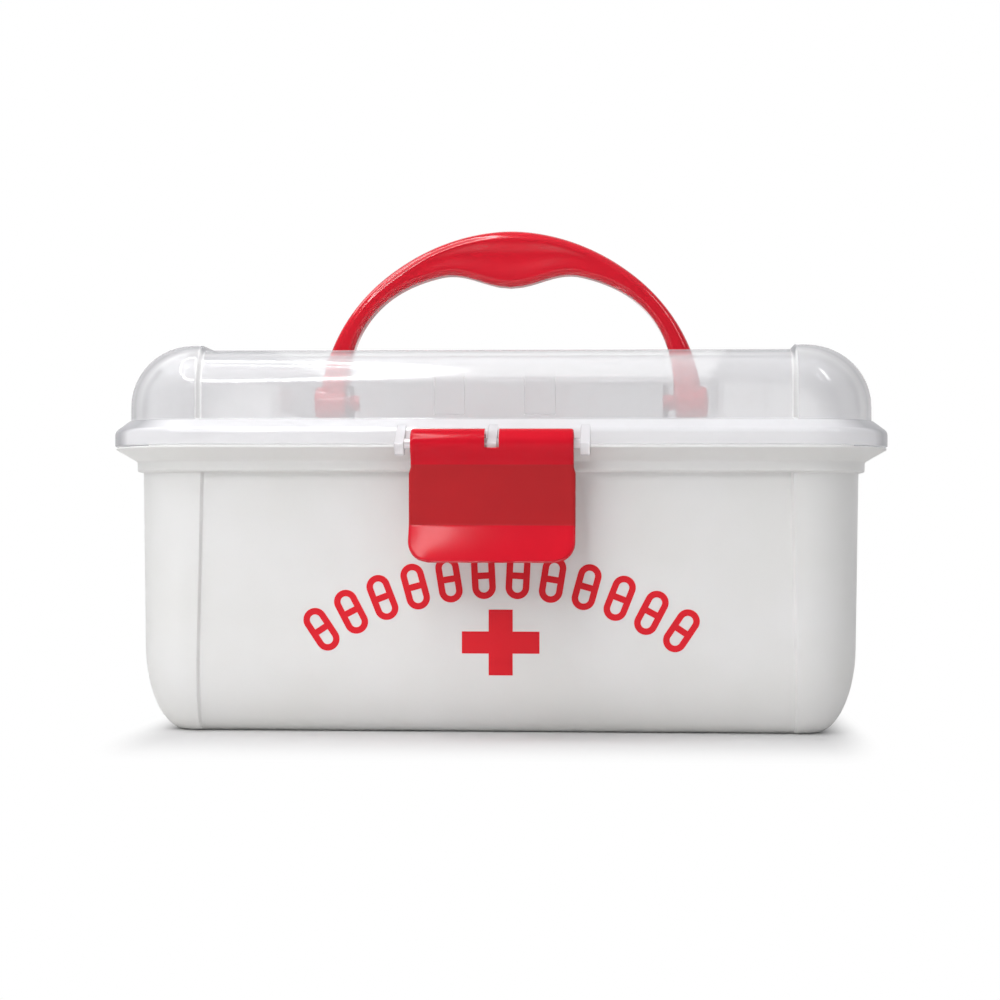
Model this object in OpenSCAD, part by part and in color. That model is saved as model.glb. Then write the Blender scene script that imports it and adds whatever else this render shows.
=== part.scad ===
// Medicine case: moulded box, hinged clear lid, snap latch, folding carrying handle and lift-out tray.
// Millimetres, +Z up, front of the case towards -Y, underside of the base at Z = 0.
// Sections of swept walls are drawn with X as the distance outward from the outline and Y as the height.

/* [Case] */
// Length of the closed case over its flanges, left to right
case_length = 280; // [260:1:330]
// Depth of the closed case over its flanges, front to back
case_depth = 185; // [170:1:220]
// Height of the body up to the top of its rim
body_height = 102; // [92:1:130]
// Plan radius of the flange corners
flange_corner_radius = 33; // [30:1:40]
// Wall thickness of the body
body_wall = 2.2; // [1.6:0.1:3]
// Thickness of the body floor
floor_thickness = 2.5; // [1.6:0.1:4]
// Narrowing of each body wall from the skirt down to the base
wall_draft = 1.5; // [0:0.1:3]
// Inward reach of the curve between wall and base
base_curve_inset = 14; // [10:0.5:16]
// Height of the curve between wall and base
base_curve_rise = 30; // [20:1:36]

/* [Recessed panels] */
// Depth of the recessed panels below the corner pillars
panel_depth = 1.5; // [0.8:0.1:2.2]
// Half width of the front and back panels under the rim
front_panel_top = 104.5; // [90:0.5:106]
// Half width of the front and back panels at the base
front_panel_base = 106.5; // [90:0.5:107]
// Half width of the side panels
side_panel_half = 45; // [30:0.5:50]

/* [Body rim] */
// Distance that the rim stands out past the body wall
rim_reach = 9.9; // [8:0.1:12]
// Height from the underside of the skirt to the top of the rim
skirt_drop = 8.8; // [7:0.1:12]
// Distance that the skirt stands out past the body wall
skirt_proud = 2.2; // [1.2:0.1:3]
// Height of the upright face of the skirt
skirt_height = 3.7; // [2.5:0.1:4.2]
// Height of the upright outer edge of the rim
rim_edge = 0.7; // [0.5:0.1:1.2]
// Thickness of the flared rim and of its locating rib
rim_thickness = 2; // [1.4:0.1:2.6]
// Height that the locating rib stands above the rim
rib_rise = 2.5; // [1:0.1:4]

/* [Lid] */
// Gap between lid and body when shut
closing_gap = 0.4; // [0.3:0.05:0.8]
// Distance that the lid flange stands out past the body rim
lid_overhang = 0.4; // [0:0.1:1]
// Height of the upright face of the lid flange
flange_face = 5.4; // [4:0.1:8]
// Inward reach of the sloping shoulder above the flange
shoulder_inset = 5.7; // [4:0.1:7]
// Height of the sloping shoulder
shoulder_rise = 3.8; // [2.5:0.1:6]
// Height of the lid corners above the shoulder
corner_height = 27.1; // [24:0.1:34]
// Depth of the lid's recessed front, sides and top below its corners
lid_panel_depth = 1.7; // [0.8:0.1:2.4]
// Radius between the ends and the top of the lid
end_radius = 22; // [14:0.5:23]
// Radius between the front and the top of the lid
front_radius = 16; // [10:0.5:18]
// Wall thickness of the lid
lid_wall = 2; // [1.4:0.1:2.6]
// Width of the moulding pockets above the latch clips
clip_pocket_width = 10.8; // [8:0.1:12]
// Height of the moulding pockets above the latch clips
clip_pocket_height = 14.5; // [8:0.1:16]
// Depth of the moulding pockets
clip_pocket_depth = 0.6; // [0.3:0.1:0.9]

/* [Trough for the folded handle] */
// Height of the trough floor above the lid shoulder
trough_floor_height = 3.5; // [2.5:0.1:5]
// Space between handle and trough wall all round
trough_clearance = 2.3; // [1.5:0.1:4]
// Plan radius of the trough corners
trough_corner_radius = 6; // [2:0.5:10]

/* [Handle] */
// Height of the handle top above its pivots
handle_rise = 66.8; // [60:0.2:72]
// Half width of the handle ellipse at its pivots
handle_half_width = 74.1; // [66:0.1:78]
// Half width of the finger opening at the pivots
grip_opening_half = 63.3; // [56:0.1:65]
// Height of the finger opening above the pivots
grip_opening_rise = 51.4; // [44:0.1:54]
// Drop of the finger swell under the middle of the grip
finger_swell = 6.5; // [0:0.1:7]
// Half width of the finger swell
finger_swell_half = 27; // [18:0.5:32]
// Thickness of the handle, front to back
handle_thickness = 11; // [8:0.1:12]
// Radius of the pivot eyes
eye_radius = 6.5; // [5:0.1:7]
// Distance from the case centre to the inner face of an eye
eye_inner = 64.2; // [62:0.1:66]
// Length of an eye along its axis
eye_length = 12.8; // [10:0.1:14]
// Radius of the pivot pins
pivot_radius = 3.1; // [2.4:0.1:3.6]
// Running clearance of each pin in its bore
running_fit = 0.1; // [0.05:0.01:0.15]
// Height of the pivot axis above the lid shoulder
pivot_height = 10.3; // [9.5:0.1:11]
// How far the handle sits to the right in its play
handle_shift = 1.3; // [0:0.1:1.3]
// Thickness of the bracket that carries each pin
bracket_thickness = 2; // [1.6:0.1:2.4]
// Gap between a bracket and the handle eye beside it
bracket_gap = 1.7; // [1:0.1:2]
// Radius of the rounded bracket top
bracket_radius = 7; // [6:0.1:7.5]

/* [Latch] */
// Width of the upper part of the latch
latch_upper_width = 56.6; // [44:0.2:64]
// Width of the lower part of the latch
latch_lower_width = 57.8; // [46:0.2:66]
// Outer radius of the latch barrel
barrel_radius = 5.2; // [4.6:0.1:6]
// Radius of the hinge bar under the lid's lugs
bar_radius = 1.9; // [1.6:0.1:2.2]
// Thickness of the latch wall
latch_wall = 2.2; // [1.6:0.1:2.6]
// Length of the latch from its axis to the foot of the pull lip
latch_length = 40.6; // [34:0.2:46]
// Distance from the axis down to the crease above the pull lip
crease_drop = 28.4; // [24:0.2:32]
// Distance that the pull lip flares out past the latch plate
lip_flare = 5.4; // [3:0.1:8]
// Corner radius of the pull lip
lip_corner_radius = 7.2; // [3:0.1:10]
// Distance from the axis down to the step in width
step_drop = 9.4; // [8:0.1:11]
// Depth of the side cheeks behind the latch plate
cheek_depth = 4.6; // [3:0.1:5]
// Width of each clip that holds the bar
clip_width = 10.8; // [8:0.1:12]
// Distance from the latch centre to the middle of each clip
clip_offset = 16; // [13:0.1:18]
// Width of the notch for the middle lug
notch_width = 5; // [4.6:0.1:7]
// Width of each clear lug on the lid
lug_width = 3.4; // [2.6:0.1:4]
// Gap between the barrel ends and the outer lugs
lug_gap = 2.2; // [1:0.1:3]
// Radius of the rounded lug ends
lug_radius = 4.2; // [3:0.1:4.6]
// Width of the flexing catch lip
catch_width = 30; // [20:0.5:40]
// Gap between the catch lip and the rim above it
catch_gap = 0.4; // [0.3:0.05:0.8]

/* [Rear hinge] */
// Distance from the case centre to each hinge
hinge_offset = 75; // [50:1:90]
// Width of each lid hook
hook_width = 20; // [12:0.5:28]
// Radius of the hinge bar
hinge_bar_radius = 2; // [1.6:0.1:2.4]
// Outer radius of the lid hook round the bar
hook_radius = 4.4; // [3.8:0.1:4.8]
// Distance of the hinge axis behind the lid flange
hinge_setback = 5; // [4.9:0.1:7]
// Distance of the hinge axis below the rim top
hinge_drop = 3; // [2.5:0.1:4]
// Thickness of the body ears that carry the bar
ear_thickness = 3; // [2:0.1:5]
// Gap between a hook and the ear beside it
ear_gap = 0.5; // [0.3:0.1:1]

/* [Tray] */
// Height of the tray floor above the base
tray_height = 62; // [40:1:64]
// Depth of the tray
tray_depth = 32; // [20:0.5:34]
// Wall thickness of the tray
tray_wall = 1.8; // [1.4:0.1:2.6]
// Gap between the tray and the body wall at the base end of the draft
tray_clearance = 0.4; // [0.3:0.1:2]
// Gap between the tray floor and the ribs that carry it
seat_gap = 0.2; // [0.1:0.05:0.3]
// Share of the tray depth taken by the back compartment
back_share = 0.42; // [0.3:0.01:0.6]
// Plan radius of the compartment corners
compartment_radius = 4; // [2:0.5:8]
// Height of the finger grip above the tray rim
grip_rise = 4; // [3:0.5:6]
// Length of the finger grip
grip_length = 60; // [40:1:80]
// Thickness of the ribs that carry the tray
rib_thickness = 2; // [1.5:0.1:3]
// Depth of the ribs that carry the tray
rib_depth = 9; // [6:0.5:14]
// Distance from the case centre to the front and back ribs
rib_offset = 60; // [40:1:80]

/* [Printed figures] */
// Thickness of the printed ink
ink_thickness = 0.12; // [0.1:0.01:0.2]
// Distance of the print to the right of the case centre
print_shift = 2; // [-3:0.1:3]
// Width of the cross
cross_width = 27.5; // [18:0.1:34]
// Height of the cross
cross_height = 23.3; // [16:0.1:30]
// Width of the upright arm of the cross
cross_upright = 8.5; // [5:0.1:10]
// Height of the level arm of the cross
cross_level = 7.8; // [5:0.1:10]
// Height of the cross centre above the base
cross_centre = 32.6; // [28:0.1:36]
// Number of capsules in the arched row
capsule_count = 12; // [4:1:12]
// Length of each capsule
capsule_length = 16.5; // [10:0.1:18]
// Width of each capsule
capsule_width = 8.4; // [6:0.1:9]
// Line width of the capsule outlines
capsule_line = 2.3; // [1.5:0.1:2.6]
// Radius of the arch through the capsule centres
arch_radius = 114.8; // [90:0.2:140]
// Height of the arch crown above the base
arch_crown = 56.4; // [50:0.1:58]
// Distance between neighbouring capsules along the arch
capsule_pitch = 12.3; // [10:0.1:13]

/* [Hidden] */
$fn = 96;

// Overlap that fuses solids of one moulding, and reach of a cutting tool past a face
fuse = 0.4;
past = 5;
// Segments in the drawn curves
curve_steps = 10;
ellipse_steps = 72;

// Outlines
flange_half_length = case_length / 2;
flange_half_depth = case_depth / 2;
rim_half_length = flange_half_length - lid_overhang;
rim_half_depth = flange_half_depth - lid_overhang;
wall_half_length = rim_half_length - rim_reach;
wall_half_depth = rim_half_depth - rim_reach;
wall_corner_radius = flange_corner_radius - lid_overhang - rim_reach;
skirt_base = body_height - skirt_drop;
inner_offset = panel_depth + body_wall;
floor_reach = wall_corner_radius - 3;
inner_curve_inset = base_curve_inset - 2;
inner_curve_rise = base_curve_rise - floor_thickness;

// Lid levels
lid_base = body_height + closing_gap;
shoulder_base = lid_base + flange_face;
shoulder_top = shoulder_base + shoulder_rise;
dome_top = shoulder_top + corner_height;
dome_half_length = flange_half_length - shoulder_inset;
dome_half_depth = flange_half_depth - shoulder_inset;
dome_corner_radius = flange_corner_radius - shoulder_inset;
dome_inner_offset = lid_panel_depth + lid_wall;

// Handle and trough
pivot_z = shoulder_top + pivot_height;
trough_floor = shoulder_top + trough_floor_height;
trough_half_length = eye_inner + eye_length + trough_clearance + 0.2;
trough_half_depth = handle_rise + trough_clearance;
bracket_outer = eye_inner - bracket_gap;
bracket_relief = 0.4;
bracket_inner = bracket_outer - bracket_thickness;
outer_power = 1.9;
inner_power = 2.6;

// Latch axis, just clear of the lid flange
barrel_clearance = 0.4;
lug_clearance = 0.5;
notch_drop = 1.2;
latch_y = -(flange_half_depth + barrel_radius + barrel_clearance);
latch_z = lid_base;
lug_centre = latch_upper_width / 2 + lug_gap + lug_width / 2;
rim_slope = (skirt_drop - skirt_height - rim_edge) / (rim_reach - skirt_proud);

// Rear hinge axis
hinge_y = flange_half_depth + hinge_setback;
hinge_z = body_height - hinge_drop;

// Tray
tray_half_length = wall_half_length - inner_offset - wall_draft - tray_clearance;
tray_half_depth = wall_half_depth - inner_offset - wall_draft - tray_clearance;
tray_corner_radius = max(wall_corner_radius - inner_offset - tray_clearance, compartment_radius + tray_wall);
tray_floor = tray_height + seat_gap;
tray_top = tray_floor + tray_depth;

function quarter(steps) = [for (i = [0:steps]) 90 * i / steps];
function draft_at(z) = wall_draft * (1 - z / skirt_base);
function signed_power(v, power) = sign(v) * pow(abs(v), power);

// Outer face of the body wall from the base up to the skirt, set in by the depth of a panel or of the ink.
function outer_wall(set_in) = [
    for (a = quarter(curve_steps))
        let (z = base_curve_rise * (1 - cos(a)))
            [-set_in - draft_at(z) - base_curve_inset * (1 - sin(a)), z]
];

// Inner face of the body wall from the rim down to the floor.
function inner_wall() = [
    for (a = quarter(curve_steps))
        let (z = floor_thickness + inner_curve_rise * (1 - sin(a)))
            [-inner_offset - draft_at(z) - inner_curve_inset * (1 - cos(a)), z]
];

module rounded_rectangle(half_length, half_depth, radius) {
    square([2 * (half_length - radius), 2 * half_depth], center = true);
    square([2 * half_length, 2 * (half_depth - radius)], center = true);
    for (x = [-1, 1])
        for (y = [-1, 1])
            translate([x * (half_length - radius), y * (half_depth - radius)])
                circle(r = radius);
}

// Turns a section round the four corners of a rounded rectangle.
module corner_turns(half_length, half_depth, radius) {
    for (corner = [[1, 1, 0], [-1, 1, 90], [-1, -1, 180], [1, -1, 270]])
        translate([corner[0] * (half_length - radius), corner[1] * (half_depth - radius), 0])
            rotate([0, 0, corner[2]])
                rotate_extrude(angle = 90)
                    translate([radius, 0])
                        children();
}

// Runs a section along one straight side that faces the given direction.
module side_run(facing, distance, run) {
    rotate([0, 0, facing])
        translate([distance, 0, 0])
            rotate([90, 0, 0])
                linear_extrude(height = run, center = true)
                    children();
}

// Sweeps a section all round a rounded rectangle.
module swept_ring(half_length, half_depth, radius) {
    corner_turns(half_length, half_depth, radius)
        children();
    for (facing = [0, 180])
        side_run(facing, half_length, 2 * (half_depth - radius))
            children();
    for (facing = [90, 270])
        side_run(facing, half_depth, 2 * (half_length - radius))
            children();
}

module body_section(set_in) {
    flare_base = skirt_base + skirt_height;
    rib_foot = body_height - rim_slope * (rim_reach - rim_thickness + inner_offset - rim_thickness);
    polygon(concat(
        [[-floor_reach, 0]],
        outer_wall(set_in),
        [
            [-set_in, skirt_base],
            [skirt_proud, skirt_base],
            [skirt_proud, flare_base],
            [rim_reach, body_height - rim_edge],
            [rim_reach, body_height],
            [rim_reach - rim_thickness, body_height],
            [rim_thickness - inner_offset, rib_foot],
            [rim_thickness - inner_offset, body_height + rib_rise],
            [-inner_offset, body_height + rib_rise]
        ],
        inner_wall(),
        [[-floor_reach, floor_thickness]]
    ));
}

// Straight side of the body with its panel set in.
module body_side(facing, distance, run, panel_top, panel_base) {
    difference() {
        side_run(facing, distance, run)
            body_section(0);
        difference() {
            rotate([0, 0, facing])
                translate([distance - floor_reach, 0, 0])
                    rotate([90, 0, 90])
                        linear_extrude(height = floor_reach + past)
                            polygon([
                                [-panel_base, -past],
                                [panel_base, -past],
                                [panel_base, 0],
                                [panel_top, skirt_base],
                                [-panel_top, skirt_base],
                                [-panel_base, 0]
                            ]);
            side_run(facing, distance, run)
                body_section(panel_depth);
        }
    }
}

module hinge_ear(x) {
    translate([x, 0, 0])
        rotate([90, 0, 90])
            linear_extrude(height = ear_thickness, center = true) {
                translate([hinge_y, hinge_z])
                    circle(r = hook_radius - fuse);
                polygon([
                    [rim_half_depth - rim_thickness, body_height - rim_edge],
                    [rim_half_depth - rim_thickness, body_height - rim_slope * rim_thickness - rim_thickness],
                    [hinge_y, hinge_z - hook_radius + fuse],
                    [hinge_y, hinge_z],
                    [rim_half_depth, body_height - rim_edge]
                ]);
            }
}

// Upright rib on the inside of a body wall, with its foot on the floor and its top under the tray.
module tray_rib(facing, distance, shift) {
    intersection() {
        rotate([0, 0, facing])
            translate([distance - inner_offset - rib_depth, shift - rib_thickness / 2, floor_thickness - fuse])
                cube([rib_depth + fuse, rib_thickness, tray_height - floor_thickness + fuse]);
        side_run(facing, distance, 2 * rib_offset + past)
            polygon(concat(
                [[-2 * floor_reach, tray_height + past]],
                [[fuse - inner_offset, tray_height + past]],
                [for (p = inner_wall()) [p[0] + fuse, p[1] - fuse]],
                [[-2 * floor_reach, floor_thickness - fuse]]
            ));
    }
}

module body_shell() color("gainsboro") {
    corner_turns(wall_half_length, wall_half_depth, wall_corner_radius)
        body_section(0);
    for (facing = [0, 180])
        body_side(facing, wall_half_length, 2 * (wall_half_depth - wall_corner_radius),
            side_panel_half, side_panel_half);
    for (facing = [90, 270])
        body_side(facing, wall_half_depth, 2 * (wall_half_length - wall_corner_radius),
            front_panel_top, front_panel_base);
    linear_extrude(height = floor_thickness)
        rounded_rectangle(wall_half_length - floor_reach + fuse, wall_half_depth - floor_reach + fuse,
            wall_corner_radius - floor_reach + fuse);
    for (facing = [90, 270])
        for (shift = [-rib_offset, rib_offset])
            tray_rib(facing, wall_half_depth, shift);
    for (facing = [0, 180])
        tray_rib(facing, wall_half_length, 0);
    for (side = [-1, 1]) {
        for (end = [-1, 1])
            hinge_ear(side * hinge_offset + end * (hook_width / 2 + ear_gap + ear_thickness / 2));
        translate([side * hinge_offset, hinge_y, hinge_z])
            rotate([0, 90, 0])
                cylinder(r = hinge_bar_radius, h = hook_width + 2 * ear_gap + fuse, center = true);
    }
}

// Upright outline with a flat foot and two rounded top corners.
module dome_outline(half_width, foot, top, radius) {
    translate([-half_width, foot])
        square([2 * half_width, top - foot - radius]);
    translate([-(half_width - radius), foot])
        square([2 * (half_width - radius), top - foot]);
    for (side = [-1, 1])
        translate([side * (half_width - radius), top - radius])
            circle(r = radius);
}

// Dome with different radii at its ends and at its front and back, all faces set in by one distance.
module dome(set_in, foot) {
    half_length = dome_half_length - set_in;
    half_depth = dome_half_depth - set_in;
    top = dome_top - set_in;
    intersection() {
        rotate([90, 0, 0])
            linear_extrude(height = 2 * half_depth + past, center = true)
                dome_outline(half_length, foot, top, end_radius - set_in);
        rotate([90, 0, 90])
            linear_extrude(height = 2 * half_length + past, center = true)
                dome_outline(half_depth, foot, top, front_radius - set_in);
        translate([0, 0, foot - past])
            linear_extrude(height = top - foot + 2 * past)
                rounded_rectangle(half_length, half_depth, dome_corner_radius - set_in);
    }
}

module lid_corner_blocks() {
    corner_x = front_panel_top;
    for (x = [-1, 1])
        for (y = [-1, 1])
            translate([x > 0 ? corner_x : -dome_half_length - past, y > 0 ? side_panel_half : -dome_half_depth - past,
                shoulder_top - past])
                cube([dome_half_length + past - corner_x, dome_half_depth + past - side_panel_half,
                    corner_height + 2 * past]);
}

module trough_block(grow, floor_z) {
    translate([0, 0, floor_z])
        linear_extrude(height = dome_top + past - floor_z)
            rounded_rectangle(trough_half_length + grow, trough_half_depth + grow, trough_corner_radius + grow);
}

module flange_section() {
    inner_face = -lid_wall;
    wall_middle = -shoulder_inset - lid_panel_depth - lid_wall / 2;
    polygon([
        [0, lid_base],
        [0, shoulder_base],
        [-shoulder_inset, shoulder_top],
        [wall_middle, shoulder_top],
        [wall_middle, shoulder_top - lid_wall],
        [-shoulder_inset - lid_wall / 2, shoulder_top - lid_wall],
        [inner_face, shoulder_base - lid_wall / 2],
        [inner_face, lid_base]
    ]);
}

module handle_bracket(side) {
    translate([side * (bracket_inner + bracket_outer) / 2, 0, 0])
        rotate([90, 0, 90])
            linear_extrude(height = bracket_thickness, center = true)
                difference() {
                    union() {
                        translate([0, pivot_z])
                            circle(r = bracket_radius);
                        translate([-bracket_radius, trough_floor - fuse])
                            square([2 * bracket_radius, pivot_z - trough_floor + fuse]);
                    }
                    translate([0, pivot_z])
                        circle(r = pivot_radius + running_fit);
                }
}

module front_lug(x) {
    translate([x, 0, 0])
        rotate([90, 0, 90])
            linear_extrude(height = lug_width, center = true) {
                translate([latch_y, latch_z])
                    circle(r = lug_radius);
                polygon([
                    [latch_y - lug_radius, latch_z],
                    [latch_y, latch_z - lug_radius],
                    [latch_y + fuse, latch_z - lug_radius],
                    [-flange_half_depth, lid_base],
                    [-flange_half_depth + fuse, lid_base],
                    [-flange_half_depth + fuse, shoulder_base],
                    [-dome_half_depth, shoulder_top - fuse],
                    [-flange_half_depth, shoulder_base + fuse]
                ]);
            }
}

module rear_hook(x) {
    translate([x, 0, 0])
        rotate([90, 0, 90])
            linear_extrude(height = hook_width, center = true)
                difference() {
                    union() {
                        translate([hinge_y, hinge_z])
                            circle(r = hook_radius);
                        polygon([
                            [flange_half_depth - fuse, lid_base + fuse],
                            [hinge_y - hook_radius * 0.6, hinge_z + hook_radius * 0.6],
                            [hinge_y + hook_radius, hinge_z],
                            [flange_half_depth + lid_wall, shoulder_base],
                            [flange_half_depth - fuse, shoulder_base]
                        ]);
                    }
                    translate([hinge_y, hinge_z])
                        circle(r = hinge_bar_radius + running_fit);
                    translate([hinge_y - hinge_bar_radius * 0.8, hinge_z - hook_radius - past])
                        square([hinge_bar_radius * 1.6, hook_radius + past]);
                }
}

module clip_pocket(x) {
    pocket_base = shoulder_top + 1.6;
    translate([x - clip_pocket_width / 2, -dome_half_depth + lid_panel_depth - past, pocket_base])
        cube([clip_pocket_width, past + clip_pocket_depth, clip_pocket_height]);
}

module lid_shell() color("lavender") {
    difference() {
        union() {
            swept_ring(flange_half_length, flange_half_depth, flange_corner_radius)
                flange_section();
            difference() {
                union() {
                    dome(lid_panel_depth, shoulder_top - 0.6 * lid_wall);
                    intersection() {
                        dome(0, shoulder_top - 0.4 * lid_wall);
                        lid_corner_blocks();
                    }
                }
                difference() {
                    dome(dome_inner_offset, shoulder_top - lid_wall - past);
                    trough_block(lid_wall, trough_floor - lid_wall);
                }
                trough_block(0, trough_floor);
            }
        }
        for (side = [-1, 1])
            clip_pocket(side * clip_offset);
    }
    for (side = [-1, 1])
        handle_bracket(side);
    for (x = [-lug_centre, 0, lug_centre])
        front_lug(x);
    translate([0, latch_y, latch_z])
        rotate([0, 90, 0])
            cylinder(r = bar_radius, h = 2 * lug_centre, center = true);
    for (side = [-1, 1])
        rear_hook(side * hinge_offset);
}

function handle_outer() = [
    for (i = [0:ellipse_steps])
        let (a = 180 * i / ellipse_steps)
            [
                handle_half_width * signed_power(cos(a), 2 / outer_power),
                handle_rise * signed_power(sin(a), 2 / outer_power)
            ]
];

function swell_at(x) = abs(x) < finger_swell_half ? finger_swell * pow(cos(90 * x / finger_swell_half), 2) : 0;

function handle_inner() = [
    for (i = [0:ellipse_steps])
        let (
            a = 180 - 180 * i / ellipse_steps,
            x = grip_opening_half * signed_power(cos(a), 2 / inner_power)
        )
            [x, grip_opening_rise * signed_power(sin(a), 2 / inner_power) - swell_at(x)]
];

module carry_handle() color("crimson") {
    eye_dome = 2;
    pin_spare = 0.2 + handle_shift;
    relief_radius = norm([bracket_radius, handle_thickness / 2]) + bracket_relief;
    difference() {
        translate([handle_shift, 0, pivot_z])
            rotate([90, 0, 0])
                linear_extrude(height = handle_thickness, center = true)
                    difference() {
                        polygon(concat(handle_outer(), handle_inner()));
                        square([2 * handle_half_width + past, 2 * fuse], center = true);
                    }
        translate([0, 0, pivot_z])
            rotate([0, 90, 0])
                cylinder(r = relief_radius, h = 2 * (bracket_outer + bracket_relief), center = true);
    }
    for (side = [-1, 1])
        translate([handle_shift, 0, pivot_z])
            rotate([0, side * 90, 0]) {
                translate([0, 0, eye_inner])
                    cylinder(r = eye_radius, h = eye_length - eye_dome);
                translate([0, 0, eye_inner + eye_length - eye_dome])
                    rotate_extrude()
                        polygon(concat(
                            [[0, 0]],
                            [for (a = quarter(curve_steps)) [eye_radius * cos(a), eye_dome * sin(a)]]
                        ));
                translate([0, 0, bracket_inner - pin_spare])
                    cylinder(r = pivot_radius, h = eye_inner - bracket_inner + pin_spare + fuse);
            }
}

// Latch plate in section: X is the distance outward from the hinge axis, Y the height above it.
module latch_section() {
    bend = latch_wall;
    polygon([
        [barrel_radius, 0],
        [barrel_radius * 0.93, -barrel_radius * 0.36],
        [barrel_radius * 0.78, -barrel_radius * 0.7],
        [barrel_radius * 0.58, -barrel_radius * 1.05],
        [bend + 0.15, -barrel_radius * 1.4],
        [bend, -barrel_radius * 1.7],
        [bend, -crease_drop],
        [bend + lip_flare * 0.2, -crease_drop - (latch_length - crease_drop) * 0.28],
        [bend + lip_flare, -latch_length],
        [lip_flare, -latch_length],
        [lip_flare * 0.2, -crease_drop - (latch_length - crease_drop) * 0.32],
        [0, -crease_drop],
        [0, -barrel_radius * 1.2],
        [barrel_radius * 0.3, -barrel_radius * 0.9],
        [barrel_radius - latch_wall * 0.7, 0]
    ]);
}

module latch_front_outline() {
    lower_half = latch_lower_width / 2;
    translate([-latch_upper_width / 2, -step_drop - fuse])
        square([latch_upper_width, step_drop + fuse + barrel_radius + past]);
    translate([-lower_half, -latch_length + lip_corner_radius])
        square([2 * lower_half, latch_length - lip_corner_radius - step_drop]);
    translate([-(lower_half - lip_corner_radius), -latch_length - fuse])
        square([2 * (lower_half - lip_corner_radius), latch_length - step_drop]);
    for (side = [-1, 1])
        translate([side * (lower_half - lip_corner_radius), -latch_length + lip_corner_radius])
            circle(r = lip_corner_radius);
}

// Places a section drawn outward and upward from the latch axis, centred on a given X.
module latch_run(x, width) {
    translate([x, latch_y, latch_z])
        rotate([90, 0, -90])
            linear_extrude(height = width, center = true)
                children();
}

module latch() color("firebrick") {
    shell_radius = barrel_radius - latch_wall * 0.7;
    difference() {
        union() {
            intersection() {
                latch_run(0, latch_lower_width + past)
                    latch_section();
                translate([0, latch_y, latch_z])
                    rotate([90, 0, 0])
                        linear_extrude(height = 4 * barrel_radius, center = true)
                            latch_front_outline();
            }
            latch_run(0, latch_upper_width)
                difference() {
                    circle(r = barrel_radius);
                    circle(r = shell_radius);
                    translate([-2 * barrel_radius, -2 * barrel_radius])
                        square([2 * barrel_radius, 2 * barrel_radius + bar_radius]);
                    translate([-fuse, -2 * barrel_radius])
                        square([2 * barrel_radius, 2 * barrel_radius - fuse]);
                }
            for (side = [-1, 1])
                latch_run(side * clip_offset, clip_width)
                    difference() {
                        circle(r = shell_radius + fuse / 2);
                        circle(r = bar_radius + running_fit);
                        translate([-2 * barrel_radius, -bar_radius * 0.85])
                            square([2 * barrel_radius, bar_radius * 1.7]);
                    }
            for (side = [-1, 1])
                latch_run(side * (latch_lower_width - latch_wall) / 2, latch_wall)
                    polygon([
                        [fuse, -step_drop],
                        [fuse, -crease_drop],
                        [-cheek_depth, -crease_drop + cheek_depth],
                        [-cheek_depth, -step_drop - cheek_depth],
                        [-fuse, -step_drop]
                    ]);
        }
        translate([-notch_width / 2, latch_y - 2 * barrel_radius, latch_z - notch_drop])
            cube([notch_width, 4 * barrel_radius, 2 * barrel_radius]);
        translate([-notch_width / 2, latch_y - lug_radius - lug_clearance, latch_z - lug_radius - lug_clearance])
            cube([notch_width, 4 * barrel_radius, 2 * barrel_radius]);
    }
}

// Level under the flared rim, and distance outward from the latch axis, at a distance out from the body wall.
function under_rim(reach) = skirt_base + skirt_height + rim_slope * (reach - skirt_proud) - catch_gap - latch_z;
function catch_out(reach) = latch_y + wall_half_depth + reach;

module latch_catch() color("indianred") {
    neck = 2.6;
    neck_top = -step_drop + fuse;
    tip_near = rim_reach - 1.5;
    tip_far = rim_reach - 4.7;
    latch_run(0, catch_width)
        polygon([
            [0, neck_top - neck],
            [catch_out(tip_far) - fuse, neck_top - neck],
            [catch_out(tip_far), under_rim(tip_far)],
            [catch_out(tip_near), under_rim(tip_near)],
            [catch_out(tip_near) + 2 * fuse, neck_top],
            [0, neck_top]
        ]);
}

module compartment(x0, x1, y0, y1) {
    translate([(x0 + x1) / 2, (y0 + y1) / 2, tray_floor + tray_wall])
        linear_extrude(height = tray_depth + past)
            rounded_rectangle((x1 - x0) / 2, (y1 - y0) / 2, compartment_radius);
}

module tray() color("whitesmoke") {
    inner_x = tray_half_length - tray_wall;
    inner_y = tray_half_depth - tray_wall;
    divider_y = inner_y - 2 * inner_y * back_share;
    column = 2 * inner_x / 3;
    difference() {
        translate([0, 0, tray_floor])
            linear_extrude(height = tray_depth)
                rounded_rectangle(tray_half_length, tray_half_depth, tray_corner_radius);
        intersection() {
            translate([0, 0, tray_floor])
                linear_extrude(height = tray_depth + past)
                    rounded_rectangle(inner_x, inner_y, tray_corner_radius - tray_wall);
            union() {
                for (i = [0:2])
                    compartment(-inner_x + column * i + (i > 0 ? tray_wall / 2 : 0),
                        -inner_x + column * (i + 1) - (i < 2 ? tray_wall / 2 : 0),
                        -inner_y, divider_y - tray_wall / 2);
                for (side = [-1, 1])
                    compartment(side < 0 ? -inner_x : tray_wall / 2, side < 0 ? -tray_wall / 2 : inner_x,
                        divider_y + tray_wall / 2, inner_y);
            }
        }
    }
    difference() {
        translate([-grip_length / 2, divider_y - tray_wall / 2, tray_top - tray_depth / 2])
            cube([grip_length, tray_wall, tray_depth / 2 + grip_rise]);
        translate([0, divider_y, tray_top - tray_wall])
            rotate([90, 0, 0])
                linear_extrude(height = 3 * tray_wall, center = true)
                    rounded_rectangle(grip_length / 2 - 8, grip_rise * 0.7, grip_rise * 0.6);
    }
}

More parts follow.
